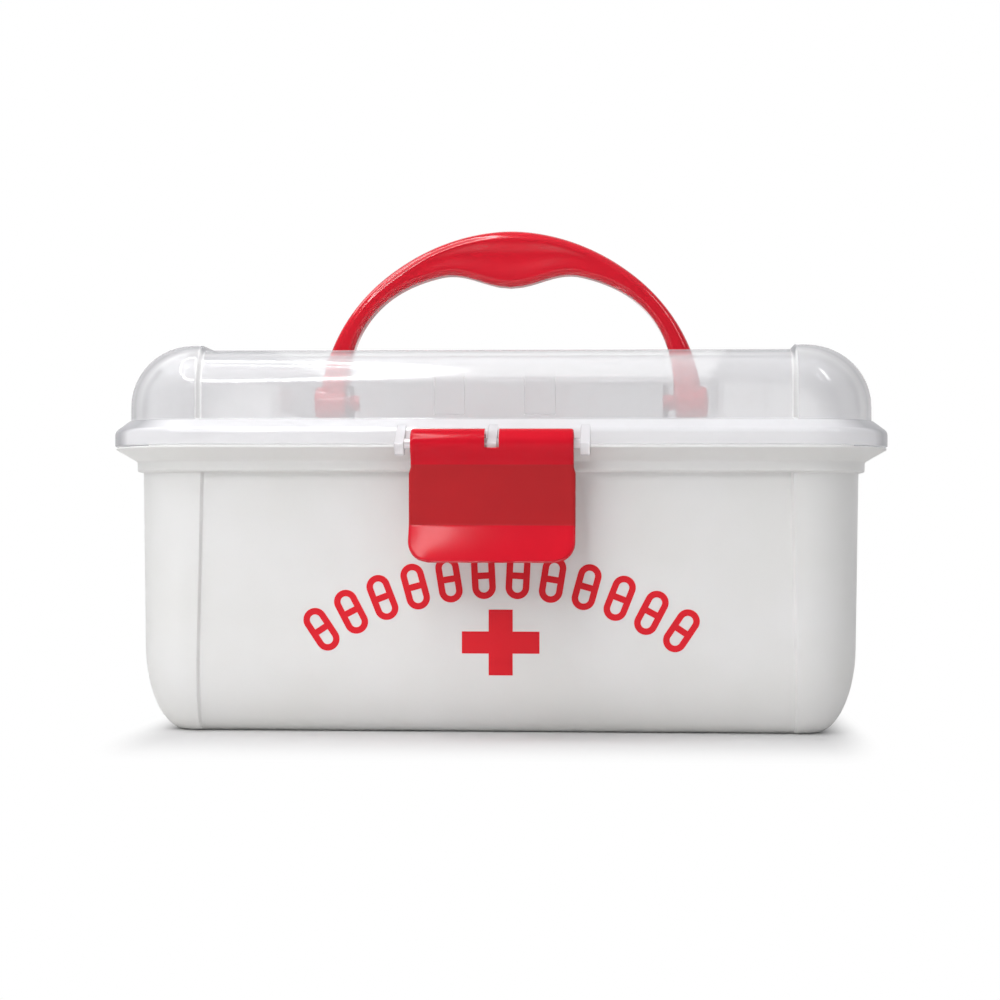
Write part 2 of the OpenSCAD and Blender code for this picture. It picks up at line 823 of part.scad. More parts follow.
// Skin of ink on the front panel, cut to a figure drawn in the plane of the front.
module printed_on_front() {
    intersection() {
        difference() {
            side_run(270, wall_half_depth, 2 * front_panel_top)
                polygon(concat(
                    outer_wall(panel_depth - ink_thickness),
                    [[ink_thickness - panel_depth, skirt_base - 1]],
                    [[-panel_depth - past, skirt_base - 1], [-floor_reach, 0]]
                ));
            side_run(270, wall_half_depth, 2 * front_panel_top + past)
                polygon(concat(
                    outer_wall(panel_depth),
                    [[-panel_depth, skirt_base]],
                    [[-panel_depth - 2 * past, skirt_base], [-floor_reach - past, 0]]
                ));
        }
        translate([print_shift, -wall_half_depth + floor_reach / 2, 0])
            rotate([90, 0, 0])
                linear_extrude(height = floor_reach)
                    children();
    }
}

module front_cross() color("red") {
    printed_on_front()
        translate([0, cross_centre]) {
            square([cross_width, cross_level], center = true);
            square([cross_upright, cross_height], center = true);
        }
}

module capsule_outline() {
    difference() {
        rounded_rectangle(capsule_width / 2, capsule_length / 2, capsule_width / 2 - 0.01);
        difference() {
            rounded_rectangle(capsule_width / 2 - capsule_line, capsule_length / 2 - capsule_line,
                capsule_width / 2 - capsule_line - 0.01);
            square([capsule_width, capsule_line], center = true);
        }
    }
}

module front_motif() color("red") {
    step_angle = capsule_pitch / arch_radius * 180 / PI;
    printed_on_front()
        translate([0, arch_crown - arch_radius])
            for (i = [0:capsule_count - 1])
                rotate(step_angle * (i - (capsule_count - 1) / 2))
                    translate([0, arch_radius])
                        capsule_outline();
}

body_shell();
lid_shell();
carry_handle();
latch();
latch_catch();
tray();
front_cross();
front_motif();
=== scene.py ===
"""Medicine case with a flanged white body, hazy clear lid, red snap latch and red carrying handle.

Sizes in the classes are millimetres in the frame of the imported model: +X to the right, -Y to the front, +Z
up, with the underside of the base at Z = 0. Meshes are made in metres.
"""

import logging
import math
from collections.abc import Callable, Sequence
from dataclasses import dataclass, field
from enum import Enum
from functools import partial
from itertools import pairwise

import bmesh
import bpy
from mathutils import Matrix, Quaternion, Vector


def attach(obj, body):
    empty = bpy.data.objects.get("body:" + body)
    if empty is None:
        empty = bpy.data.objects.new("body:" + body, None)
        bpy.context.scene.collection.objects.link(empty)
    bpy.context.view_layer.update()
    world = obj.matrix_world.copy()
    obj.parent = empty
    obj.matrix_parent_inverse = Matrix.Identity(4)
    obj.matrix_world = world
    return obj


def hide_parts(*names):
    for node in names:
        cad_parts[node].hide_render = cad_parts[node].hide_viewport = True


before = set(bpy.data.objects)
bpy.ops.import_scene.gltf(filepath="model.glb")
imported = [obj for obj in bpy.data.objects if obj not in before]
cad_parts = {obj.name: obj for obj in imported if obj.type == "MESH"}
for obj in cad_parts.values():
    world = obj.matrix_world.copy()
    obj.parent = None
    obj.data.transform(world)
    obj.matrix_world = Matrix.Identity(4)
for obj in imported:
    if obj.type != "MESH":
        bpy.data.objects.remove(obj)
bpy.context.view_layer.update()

LOG = logging.getLogger("medicine_case")
MM = 0.001
SHARP_ANGLE = math.radians(34)
WELD = 0.004 * MM
WHITE = (1.0, 1.0, 1.0, 1.0)
POLYPROPYLENE_IOR = 1.49

Flat = tuple[float, float]
Solid = tuple[float, float, float]
Adder = Callable[..., bpy.types.Node]


class Body(Enum):
    """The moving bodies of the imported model."""

    CASE = "case_body"
    LID = "lid"
    HANDLE = "handle"
    LATCH = "snap_latch"
    TRAY = "lift_tray"


class Slot(Enum):
    """Names of the record's material slots."""

    BODY = "white_body"
    LID = "clear_lid"
    HANDLE = "red_handle"
    LATCH = "red_latch"
    TRAY = "white_tray"


# Drawing helpers


def ease(value: float) -> float:
    """Returns a smooth 0 to 1 step of a value that runs from 0 to 1."""
    t = min(1.0, max(0.0, value))
    return t * t * (3 - 2 * t)


def mirrored(stops: Sequence[float]) -> list[float]:
    """Returns the stops and their mirror images in rising order, each once."""
    return sorted({round(sign * s, 5) for s in stops for sign in (-1, 1)})


def step_stops(place: float, half_width: float) -> list[float]:
    """Returns the stops of a rounded step between a panel and a pillar."""
    return [place + half_width * f for f in (-1, -0.62, -0.3, 0, 0.3, 0.62, 1)]


def quarter(steps: int) -> list[Flat]:
    """Returns the cosines and sines of a quarter turn in equal steps, both ends included."""
    angles = [math.radians(90 * k / steps) for k in range(steps + 1)]
    return [(math.cos(a), math.sin(a)) for a in angles]


def arc(centre: Flat, radius: float, start: float, end: float, steps: int) -> list[Flat]:
    """Returns the points of an arc between two angles in degrees, both ends included."""
    angles = [math.radians(start + (end - start) * k / steps) for k in range(steps + 1)]
    return [(centre[0] + radius * math.cos(a), centre[1] + radius * math.sin(a)) for a in angles]


def rounded_rectangle(half_x: float, half_y: float, radius: float, steps: int) -> list[Flat]:
    """Returns a rounded rectangle round the origin, anticlockwise."""
    return [p for sx, sy, start in ((1, 1, 0), (-1, 1, 90), (-1, -1, 180), (1, -1, 270))
            for p in arc((sx * (half_x - radius), sy * (half_y - radius)), radius, start, start + 90, steps)]


def along_x(u: float, v: float, depth: float) -> Solid:
    """Places a point of a section across the case, with its depth along X."""
    return (depth, u, v)


def rounded(points: Sequence[Flat], radii: Sequence[float], steps: int = 4,
            closed: bool = False) -> list[Flat]:
    """Rounds the corners of a polyline.

    Args:
        points: The corners.
        radii: One radius per corner, 0 for a corner that stays sharp.
        steps: Segments in each rounded corner.
        closed: True for a closed outline.

    Returns:
        The points of the rounded line; their number depends on steps and on which radii are 0 alone.
    """
    out: list[Flat] = []
    count = len(points)
    for i, (corner, radius) in enumerate(zip(points, radii)):
        if radius <= 0 or (not closed and i in (0, count - 1)):
            out.append(corner)
            continue
        p = Vector(corner)
        to_last = Vector(points[i - 1]) - p
        to_next = Vector(points[(i + 1) % count]) - p
        half = max(0.02, to_last.angle(to_next) / 2)
        run = min(radius / math.tan(half), 0.49 * to_last.length, 0.49 * to_next.length)
        inner = run * math.tan(half)
        centre = p + (to_last.normalized() + to_next.normalized()).normalized() * (inner / math.sin(half))
        start = p + to_last.normalized() * run - centre
        turn = start.angle_signed(p + to_next.normalized() * run - centre)
        first = math.atan2(start.y, start.x)
        angles = [first - turn * k / steps for k in range(steps + 1)]
        out += [(centre.x + inner * math.cos(a), centre.y + inner * math.sin(a)) for a in angles]
    return out


class Skin:
    """Collects the faces of one moulding and turns them into an object."""

    def __init__(self) -> None:
        """Starts an empty mesh."""
        self.bm = bmesh.new()

    def vert(self, p: Solid) -> bmesh.types.BMVert:
        """Returns a new vertex at a place in millimetres."""
        return self.bm.verts.new([c * MM for c in p])

    def face(self, verts: Sequence[bmesh.types.BMVert], finish: int = 0) -> None:
        """Adds one face, leaving out repeated corners.

        Args:
            verts: The corners in order.
            finish: Index of the material on the object.
        """
        ring = list(dict.fromkeys(verts))
        if len(ring) > 2 and self.bm.faces.get(ring) is None:
            self.bm.faces.new(ring).material_index = finish

    def polygon(self, points: Sequence[Solid]) -> None:
        """Adds one flat face."""
        self.face([self.vert(p) for p in points])

    def grid(self, lines: Sequence[Sequence[Solid]], closed: bool = False,
             looped: bool = False) -> list[list[bmesh.types.BMVert]]:
        """Adds a skin of four-sided faces.

        Args:
            lines: Rows of points, all of one length.
            closed: True where the last row joins the first.
            looped: True where each row is a loop.

        Returns:
            The vertices, row by row.
        """
        rows = [[self.vert(p) for p in line] for line in lines]
        for a, b in pairwise(rows + rows[:1] if closed else rows):
            for j in range(len(a) if looped else len(a) - 1):
                k = (j + 1) % len(a)
                self.face((a[j], a[k], b[k], b[j]))
        return rows

    def sheet(self, front: Sequence[Sequence[Solid]], back: Sequence[Sequence[Solid]],
              keep: Callable[[int, int], bool], finish: Callable[[int], int]) -> None:
        """Adds a wall between two skins of equal grids, with its edges closed.

        Args:
            front: Rows of points on the outer skin.
            back: The same on the inner skin.
            keep: Says which cells are there.
            finish: Gives the material index of a row of cells.
        """
        skins = [[[self.vert(p) for p in row] for row in skin] for skin in (front, back)]
        rows, columns = len(front) - 1, len(front[0]) - 1

        def there(i: int, j: int) -> bool:
            """Returns True for a cell of the wall."""
            return 0 <= i < rows and 0 <= j < columns and keep(i, j)

        for i, j in ((i, j) for i in range(rows) for j in range(columns) if there(i, j)):
            for skin in skins:
                self.face((skin[i][j], skin[i][j + 1], skin[i + 1][j + 1], skin[i + 1][j]), finish(i))
            edges = (((i, j), (i, j + 1), (i - 1, j)), ((i + 1, j), (i + 1, j + 1), (i + 1, j)),
                     ((i, j), (i + 1, j), (i, j - 1)), ((i, j + 1), (i + 1, j + 1), (i, j + 1)))
            for (a, b), (c, d), beside in edges:
                if not there(*beside):
                    self.face((skins[0][a][b], skins[0][c][d], skins[1][c][d], skins[1][a][b]), finish(i))

    def prism(self, outline: Sequence[Flat], place: Callable[[float, float, float], Solid], low: float,
              high: float, bevel: float) -> None:
        """Adds a flat piece with softened edges.

        Args:
            outline: Its outline in its own plane.
            place: Turns outline coordinates and a depth into a place.
            low: Depth of one side.
            high: Depth of the other side.
            bevel: Width of the softened edges, 0 for sharp ones.
        """
        part = bmesh.new()
        rings = [[part.verts.new([c * MM for c in place(u, v, d)]) for u, v in outline] for d in (low, high)]
        part.faces.new(rings[0])
        part.faces.new(rings[1][::-1])
        for i in range(len(outline)):
            k = (i + 1) % len(outline)
            part.faces.new((rings[0][i], rings[1][i], rings[1][k], rings[0][k]))
        bmesh.ops.recalc_face_normals(part, faces=part.faces)
        if bevel > 0:
            rim = [e for e in part.edges if e.calc_face_angle(0) > SHARP_ANGLE]
            bmesh.ops.bevel(part, geom=rim, offset=bevel * MM, segments=2, profile=0.5, affect="EDGES",
                            clamp_overlap=True)
        self.take(part)

    def slab(self, outline: Sequence[Flat], middle: float, width: float, bevel: float) -> None:
        """Adds a flat piece that stands across the case, by the middle of its width along X."""
        self.prism(outline, along_x, middle - width / 2, middle + width / 2, bevel)

    def rod(self, axis: Flat, middle: float, length: float, radius: float) -> None:
        """Adds a round bar along X, by its axis in Y and Z and the middle of its length."""
        self.slab(arc(axis, radius, 0, 345, 23), middle, length, 0.1)

    def take(self, part: bmesh.types.BMesh) -> None:
        """Adds the faces of another mesh and frees it.

        Args:
            part: The other mesh.
        """
        part.verts.index_update()
        copies = [self.bm.verts.new(v.co) for v in part.verts]
        for f in part.faces:
            self.bm.faces.new([copies[v.index] for v in f.verts])
        part.free()

    def hole_plate(self, loops: Sequence[Sequence[Solid]]) -> None:
        """Adds a flat face between an outer loop and the loops of its holes.

        Args:
            loops: The outer loop, then the holes.
        """
        part = bmesh.new()
        for loop in loops:
            verts = [part.verts.new([c * MM for c in p]) for p in loop]
            for a, b in pairwise(verts + verts[:1]):
                part.edges.new((a, b))
        bmesh.ops.triangle_fill(part, edges=part.edges, use_beauty=True, use_dissolve=False)
        self.take(part)

    def finish(self, name: str, materials: Sequence[bpy.types.Material]) -> bpy.types.Object:
        """Welds, turns the faces outward, smooths the shading and returns the object.

        Args:
            name: The piece's name.
            materials: Its materials by index.

        Returns:
            The new object, linked to the scene.
        """
        bmesh.ops.remove_doubles(self.bm, verts=self.bm.verts, dist=WELD)
        bmesh.ops.dissolve_degenerate(self.bm, edges=self.bm.edges, dist=WELD / 4)
        bmesh.ops.recalc_face_normals(self.bm, faces=self.bm.faces)
        for f in self.bm.faces:
            f.smooth = True
        for e in self.bm.edges:
            if e.calc_face_angle(0) > SHARP_ANGLE:
                e.smooth = False
        mesh = bpy.data.meshes.new(name)
        self.bm.to_mesh(mesh)
        self.bm.free()
        for m in materials:
            mesh.materials.append(m)
        piece = bpy.data.objects.new(name, mesh)
        bpy.context.scene.collection.objects.link(piece)
        piece.modifiers.new("even shading on the flats", "WEIGHTED_NORMAL").keep_sharp = True
        return piece


@dataclass
class Moulding:
    """A moulding and the mesh that it is drawn in."""

    skin: Skin = field(default_factory=Skin, init=False, repr=False)


# Finishes


def linear(colour: str) -> tuple[float, float, float, float]:
    """Returns a hex sRGB colour as linear red, green, blue and alpha."""
    parts = [int(colour[i:i + 2], 16) / 255 for i in (1, 3, 5)]
    return (*(c / 12.92 if c <= 0.04045 else ((c + 0.055) / 1.055) ** 2.4 for c in parts), 1.0)


def add_node(tree: bpy.types.NodeTree, kind: str,
             values: dict[str | int, object] | None = None) -> bpy.types.Node:
    """Adds one node with its settings and links.

    Args:
        tree: The node tree.
        kind: The node's type name after the word ShaderNode.
        values: Its properties, its socket values by name or number, and the nodes or sockets that feed it.

    Returns:
        The new node.
    """
    node = tree.nodes.new("ShaderNode" + kind)
    for key, value in (values or {}).items():
        if isinstance(key, str) and hasattr(node, key):
            setattr(node, key, value)
        elif isinstance(value, bpy.types.Node):
            tree.links.new(next(s for s in value.outputs if s.enabled), node.inputs[key])
        elif isinstance(value, bpy.types.NodeSocket):
            tree.links.new(value, node.inputs[key])
        else:
            node.inputs[key].default_value = value
    return node


def empty_material(name: str) -> bpy.types.Material:
    """Makes a material with no nodes.

    Args:
        name: The material's name.

    Returns:
        The new material.
    """
    material = bpy.data.materials.new(name)
    material.use_nodes = True
    material.node_tree.nodes.clear()
    return material


@dataclass(frozen=True)
class MouldedPlastic:
    """Injection-moulded polypropylene, coloured through.

    The eye sees a soft sheen from the polished mould, a very shallow orange-peel waviness where the skin
    shrank, and slightly uneven tone where the melt flowed.
    """

    name: str
    colour: str
    tone: str
    roughness: float
    roughness_spread: Flat = (0.9, 1.12)
    flow_mm: float = 28.0
    flow_share: Flat = (0.35, 0.65)
    ripple_mm: float = 9.0
    ripple_height_mm: float = 0.02
    grain_mm: float = 0.35
    grain_height_mm: float = 0.0015
    coat: float = 0.0
    coat_roughness: float = 0.1
    shine: float = 0.5

    def material(self) -> bpy.types.Material:
        """Makes the material.

        Returns:
            The material, with its uneven tone, its waviness and its grain.
        """
        material = empty_material(self.name)
        add = partial(add_node, material.node_tree)
        place = add("TexCoord").outputs["Object"]
        patterns = ((self.flow_mm, 2.0), (self.ripple_mm, 1.0), (self.grain_mm, 2.0))
        flow, ripple, grain = (add("TexNoise", {"Scale": 1 / (size * MM), "Detail": detail, "Vector": place})
                               for size, detail in patterns)
        share = add("MapRange", {"From Min": self.flow_share[0], "From Max": self.flow_share[1],
                                 "Value": flow})
        colour = add("Mix", {"data_type": "RGBA", 0: share, 6: linear(self.colour), 7: linear(self.tone)})
        glossiest, dullest = (self.roughness * spread for spread in self.roughness_spread)
        gloss = add("MapRange", {"To Min": glossiest, "To Max": dullest, "Value": flow})
        waves = add("Bump", {"Distance": self.ripple_height_mm * MM, "Strength": 1.0, "Height": ripple})
        bump = add("Bump", {"Distance": self.grain_height_mm * MM, "Strength": 1.0, "Height": grain,
                            "Normal": waves})
        shader = add("BsdfPrincipled", {
            "IOR": POLYPROPYLENE_IOR, "Coat Weight": self.coat, "Coat Roughness": self.coat_roughness,
            "Specular IOR Level": self.shine, "Base Color": colour, "Roughness": gloss, "Normal": bump})
        add("OutputMaterial", {"Surface": shader})
        return material


@dataclass(frozen=True)
class LidZones:
    """Masks of the lid: solid flange, steps across X and Y, all steps above the flange, and trough."""

    solid: bpy.types.Node
    lines: list[bpy.types.Node]
    step: bpy.types.Node
    trough: bpy.types.Node


@dataclass(frozen=True)
class HazyClearPlastic:
    """Natural polypropylene, moulded about 2 mm thick against a polished mould.

    The eye sees a milky grey wall that lets strong colours behind it through as pale patches, under a clear
    gloss with sharp highlights. Each wall has two skins, so each skin hides only a share of what is behind
    it; the solid flange and the steps beside the corner blocks, seen lengthways, hide more, and the trough's
    thin walls hide less. The steps are painted white as well, a painted highlight along each step, and the
    trough's milk is painted paler, painted light that lifts the shade inside it. Its outline turns light
    aside and reads as a grey line, painted into its colour as painted shade.
    """

    name: str = "hazy clear polypropylene"
    milk: str = "#f6f6f9"
    # Painted light: a paler milk inside the trough, which lifts the shade there.
    trough_painted_light: str = "#fbfbfe"
    solid_milk: str = "#f2f2f5"
    # Painted highlight: the steps beside the corner blocks are painted white, a bright line along each.
    painted_step_highlight: str = "#ffffff"
    # Painted shade: the outline is painted this grey, for light that the wall's edge bends aside.
    outline: str = "#9a9a9f"
    painted_shade_slant: Flat = (0.5, 0.68)
    haze: float = 0.3
    solid_haze: float = 0.62
    step_haze: float = 0.8
    trough_haze: float = 0.06
    solid_below: Flat = (112.0, 111.0)
    steps_at: Flat = (105.3, 45.0)
    step_width: Flat = (1.15, 0.6)
    step_fade: float = 1.0
    trough_reach: Flat = (82.0, 71.5)
    trough_edge: float = 0.5
    unevenness: float = 0.02
    slant_limit: float = 0.92
    shortest_depth: float = 0.4
    lamps_stopped: float = 0.05
    glow: float = 0.25
    milk_roughness: float = 0.45
    milk_shine: float = 0.2
    gloss: Flat = (0.045, 0.15)
    roughness: float = 0.06
    flow_mm: float = 40.0
    ripple_mm: float = 14.0
    ripple_height_mm: float = 0.014

    def zones(self, add: Adder, place: bpy.types.NodeSocket) -> LidZones:
        """Makes the masks of the lid's zones.

        Args:
            add: Adds a node to the material.
            place: The place on the lid.

        Returns:
            The masks, 1 inside a zone and 0 outside.
        """
        apart = add("VectorMath", {"operation": "ABSOLUTE", 0: place})
        beside, inside = (add("SeparateXYZ", {0: add("VectorMath", {
            "operation": "SUBTRACT", 0: apart, 1: (x * MM, y * MM, 0.0)})}).outputs
            for x, y in (self.steps_at, self.trough_reach))
        solid = add("MapRange", {"From Min": self.solid_below[0] * MM, "From Max": self.solid_below[1] * MM,
                                 "Value": add("SeparateXYZ", {0: place}).outputs["Z"]})
        lines = []
        for across, beyond in (("X", "Y"), ("Y", "X")):
            line = add("MapRange", {"From Min": self.step_width[0] * MM, "From Max": self.step_width[1] * MM,
                                    "Value": add("Math", {"operation": "ABSOLUTE", 0: beside[across]})})
            there = add("MapRange", {"From Min": -self.step_fade * MM, "From Max": 0.0,
                                     "Value": beside[beyond]})
            lines.append(add("Math", {"operation": "MULTIPLY", 0: line, 1: there}))
        either = add("Math", {"operation": "MAXIMUM", 0: lines[0], 1: lines[1]})
        step = add("Math", {"operation": "SUBTRACT", "use_clamp": True, 0: either, 1: solid})
        furthest = add("Math", {"operation": "MAXIMUM", 0: inside["X"], 1: inside["Y"]})
        edge = self.trough_edge * MM
        trough = add("MapRange", {"From Min": edge, "From Max": -edge, "Value": furthest})
        return LidZones(solid, lines, step, trough)

    def density(self, add: Adder, place: bpy.types.NodeSocket, slant: bpy.types.NodeSocket,
                zones: LidZones) -> bpy.types.Node:
        """Works out the share of what lies behind that a skin hides.

        Args:
            add: Adds a node to the material.
            place: The place on the lid.
            slant: How far the skin turns away from the eye.
            zones: The masks of the lid's zones.

        Returns:
            The share: more in a solid zone and at a slant, and little for the light of the lamps.
        """
        flow = add("TexNoise", {"Scale": 1 / (self.flow_mm * MM), "Detail": 2.0, "Vector": place})
        plain = add("MapRange", {"To Min": 1 - self.haze, "To Max": 1 - self.solid_haze,
                                 "Value": zones.solid})
        thinned = add("Math", {"operation": "MULTIPLY_ADD", 0: zones.trough, 1: self.haze - self.trough_haze,
                               2: plain})
        base = add("Mix", {"data_type": "FLOAT", 0: zones.step, 2: thinned, 3: 1 - self.step_haze})
        uneven = add("MapRange", {"To Min": 1 + self.unevenness, "To Max": 1 - self.unevenness,
                                  "Value": flow})
        clearness = add("Math", {"operation": "MULTIPLY", 0: base, 1: uneven})
        depth = add("MapRange", {"From Max": self.slant_limit, "To Min": 1.0, "To Max": self.shortest_depth,
                                 "Value": slant})
        path = add("Math", {"operation": "DIVIDE", 0: 1.0, 1: depth})
        through = add("Math", {"operation": "POWER", 0: clearness, 1: path})
        hidden = add("Math", {"operation": "SUBTRACT", 0: 1.0, 1: through})
        rays = add("LightPath").outputs
        lamp_ray = add("Math", {"operation": "MAXIMUM", 0: rays["Is Shadow Ray"], 1: rays["Is Diffuse Ray"]})
        kept = add("MapRange", {"To Min": 1.0, "To Max": self.lamps_stopped, "Value": lamp_ray})
        return add("Math", {"operation": "MULTIPLY", 0: hidden, 1: kept})

    def milky(self, add: Adder, normal: bpy.types.NodeSocket, slant: bpy.types.NodeSocket,
              zones: LidZones) -> bpy.types.Node:
        """Makes the milky part of a skin.

        Args:
            add: Adds a node to the material.
            normal: The direction that the skin faces on the lid.
            slant: How far the skin turns away from the eye.
            zones: The masks of the lid's zones.

        Returns:
            The shader: it scatters light back and forward, and its steps are lit as the wall beside them is.
        """
        # Painted light: the trough's milk is paler than the wall's.
        wall = add("Mix", {"data_type": "RGBA", 0: zones.trough, 6: linear(self.milk),
                           7: linear(self.trough_painted_light)})
        colour = add("Mix", {"data_type": "RGBA", 0: zones.solid, 6: wall, 7: linear(self.solid_milk)})
        # Painted highlight: the steps are painted white.
        highlighted_steps = add("Mix", {"data_type": "RGBA", 0: zones.step, 6: colour, 7: linear(self.painted_step_highlight)})
        # Painted shade: grey along the outline, where the wall turns away from the eye.
        rim = add("MapRange", {"From Min": self.painted_shade_slant[0], "From Max": self.painted_shade_slant[1],
                               "Value": slant})
        outline_painted_shade = add("Mix", {"data_type": "RGBA", 0: rim, 6: highlighted_steps, 7: linear(self.outline)})
        lost = add("CombineXYZ", {"X": zones.lines[0], "Y": zones.lines[1]})
        level = add("VectorMath", {"operation": "SUBTRACT", 0: (1.0, 1.0, 1.0), 1: lost})
        flat = add("VectorMath", {"operation": "MULTIPLY", 0: normal, 1: level})
        facing = add("VectorTransform", {"vector_type": "NORMAL", "convert_from": "OBJECT",
                                         "convert_to": "WORLD", 0: flat})
        front = add("BsdfPrincipled", {"Roughness": self.milk_roughness, "IOR": POLYPROPYLENE_IOR,
                                       "Specular IOR Level": self.milk_shine, "Base Color": outline_painted_shade,
                                       "Normal": facing})
        back = add("BsdfTranslucent", {"Color": colour})
        return add("MixShader", {0: self.glow, 1: front, 2: back})

    def material(self) -> bpy.types.Material:
        """Makes the material.

        Returns:
            The material: clear and milky skin under a gloss that grows at a slant.
        """
        material = empty_material(self.name)
        add = partial(add_node, material.node_tree)
        spot = add("TexCoord").outputs
        slant = add("LayerWeight", {"Blend": 0.5}).outputs["Facing"]
        zones = self.zones(add, spot["Object"])
        wall = add("MixShader", {0: self.density(add, spot["Object"], slant, zones),
                                 1: add("BsdfTransparent"),
                                 2: self.milky(add, spot["Normal"], slant, zones)})
        ripple = add("TexNoise", {"Scale": 1 / (self.ripple_mm * MM), "Detail": 1.0,
                                  "Vector": spot["Object"]})
        bump = add("Bump", {"Distance": self.ripple_height_mm * MM, "Strength": 1.0, "Height": ripple})
        shine = add("BsdfGlossy", {"Roughness": self.roughness, "Color": WHITE, "Normal": bump})
        facing = add("LayerWeight", {"Blend": 0.5, "Normal": bump}).outputs["Facing"]
        grazing = add("Math", {"operation": "POWER", 0: facing, 1: 5.0})
        gloss = add("MapRange", {"To Min": self.gloss[0], "To Max": self.gloss[1], "Value": grazing})
        add("OutputMaterial", {"Surface": add("MixShader", {0: gloss, 1: wall, 2: shine})})
        return material


# The body's mould is a little matt, which gives a wide, soft sheen.
WHITE_BODY = MouldedPlastic("white polypropylene", "#e9e9e9", "#e6e6e5", 0.36, ripple_height_mm=0.03)
# The tray is paler and duller than the body.
WHITE_TRAY = MouldedPlastic("white tray polypropylene", "#efefee", "#ebebea", 0.42)
# The handle's mould is polished, which gives sharp highlights on a full red.
RED_HANDLE = MouldedPlastic("red handle polypropylene", "#da152a", "#d11328", 0.16, ripple_height_mm=0.008,
                            coat=0.5, coat_roughness=0.06, shine=0.4)
# The latch's plate is grained, which gives an even red without highlights; its darker red is painted shade.
RED_PLATE = MouldedPlastic("red latch plate polypropylene", "#b91b22", "#b21920", 0.42, grain_mm=0.5,
                           grain_height_mm=0.004, shine=0.25)
# The pull lip is polished, so its flare turns from dark to bright.
RED_LIP = MouldedPlastic("red pull lip polypropylene", "#d3192b", "#cb1628", 0.1, ripple_height_mm=0.012,
                         coat=0.04, coat_roughness=0.03, shine=0.12)
# The ink lies thin and matt on the body, which gives a flat, light red.
RED_INK = MouldedPlastic("red pad-printed ink", "#e4222f", "#df202d", 0.5, ripple_height_mm=0.004,
                         grain_mm=0.5, grain_height_mm=0.004, shine=0.2)
CLEAR_LID = HazyClearPlastic()


# Plan outline and axes that the mouldings share


@dataclass(frozen=True)
class Column:
    """One upright line of a wall that runs round the case.

    x and y lie on the flange outline, nx and ny point outward, and turn runs from 0 on the front and back to
    1 on the ends.
    """

    x: float
    y: float
    nx: float
    ny: float
    turn: float

    def at(self, out: float, z: float) -> Solid:
        """Returns the place at a distance outward from the outline and a height."""
        return (self.x + self.nx * out, self.y + self.ny * out, z)


@dataclass(frozen=True)
class Plan:
    """Rounded rectangle that a wall follows."""

    half_x: float
    half_y: float
    radius: float

    def columns(self, x_stops: Sequence[float], y_stops: Sequence[float], arc_steps: int) -> list[Column]:
        """Returns the columns anticlockwise from the front left.

        Args:
            x_stops: Places of the columns on the front and back.
            y_stops: Places of the columns on the ends.
            arc_steps: Segments in each corner.

        Returns:
            The columns.
        """
        cx, cy = self.half_x - self.radius, self.half_y - self.radius
        straights = ([Column(self.half_x, y, 1, 0, 1) for y in y_stops],
                     [Column(x, self.half_y, 0, 1, 0) for x in reversed(x_stops)],
                     [Column(-self.half_x, y, -1, 0, 1) for y in reversed(y_stops)], [])
        out = [Column(x, -self.half_y, 0, -1, 0) for x in x_stops]
        corners = ((1, -1, 270), (1, 1, 0), (-1, 1, 90), (-1, -1, 180))
        for (sx, sy, start), straight in zip(corners, straights):
            for nx, ny in arc((0, 0), 1, start, start + 90, arc_steps)[1:-1]:
                turn = abs(math.degrees(math.asin(nx))) / 90
                out.append(Column(sx * cx + self.radius * nx, sy * cy + self.radius * ny, nx, ny, turn))
            out += straight
        return out


@dataclass(frozen=True)
class Pivots:
    """The rear hinge's axis and hooks, the latch's axis and the height of the handle's, in Y and Z."""

    rear: Flat = (97.5, 99.0)
    hook_offset: float = 75.0
    hook_width: float = 20.0
    hook_radius: float = 4.4
    latch: Flat = (-98.1, 102.4)
    handle: float = 121.9


PIVOTS = Pivots()
FLANGE = Plan(140.0, 92.5, 33.0)
CORNER_X = FLANGE.half_x - FLANGE.radius
CORNER_Y = FLANGE.half_y - FLANGE.radius
CORNER_STEPS = 20
# Places nearer to each other than this are one place.
TINY = 1e-6


# White body


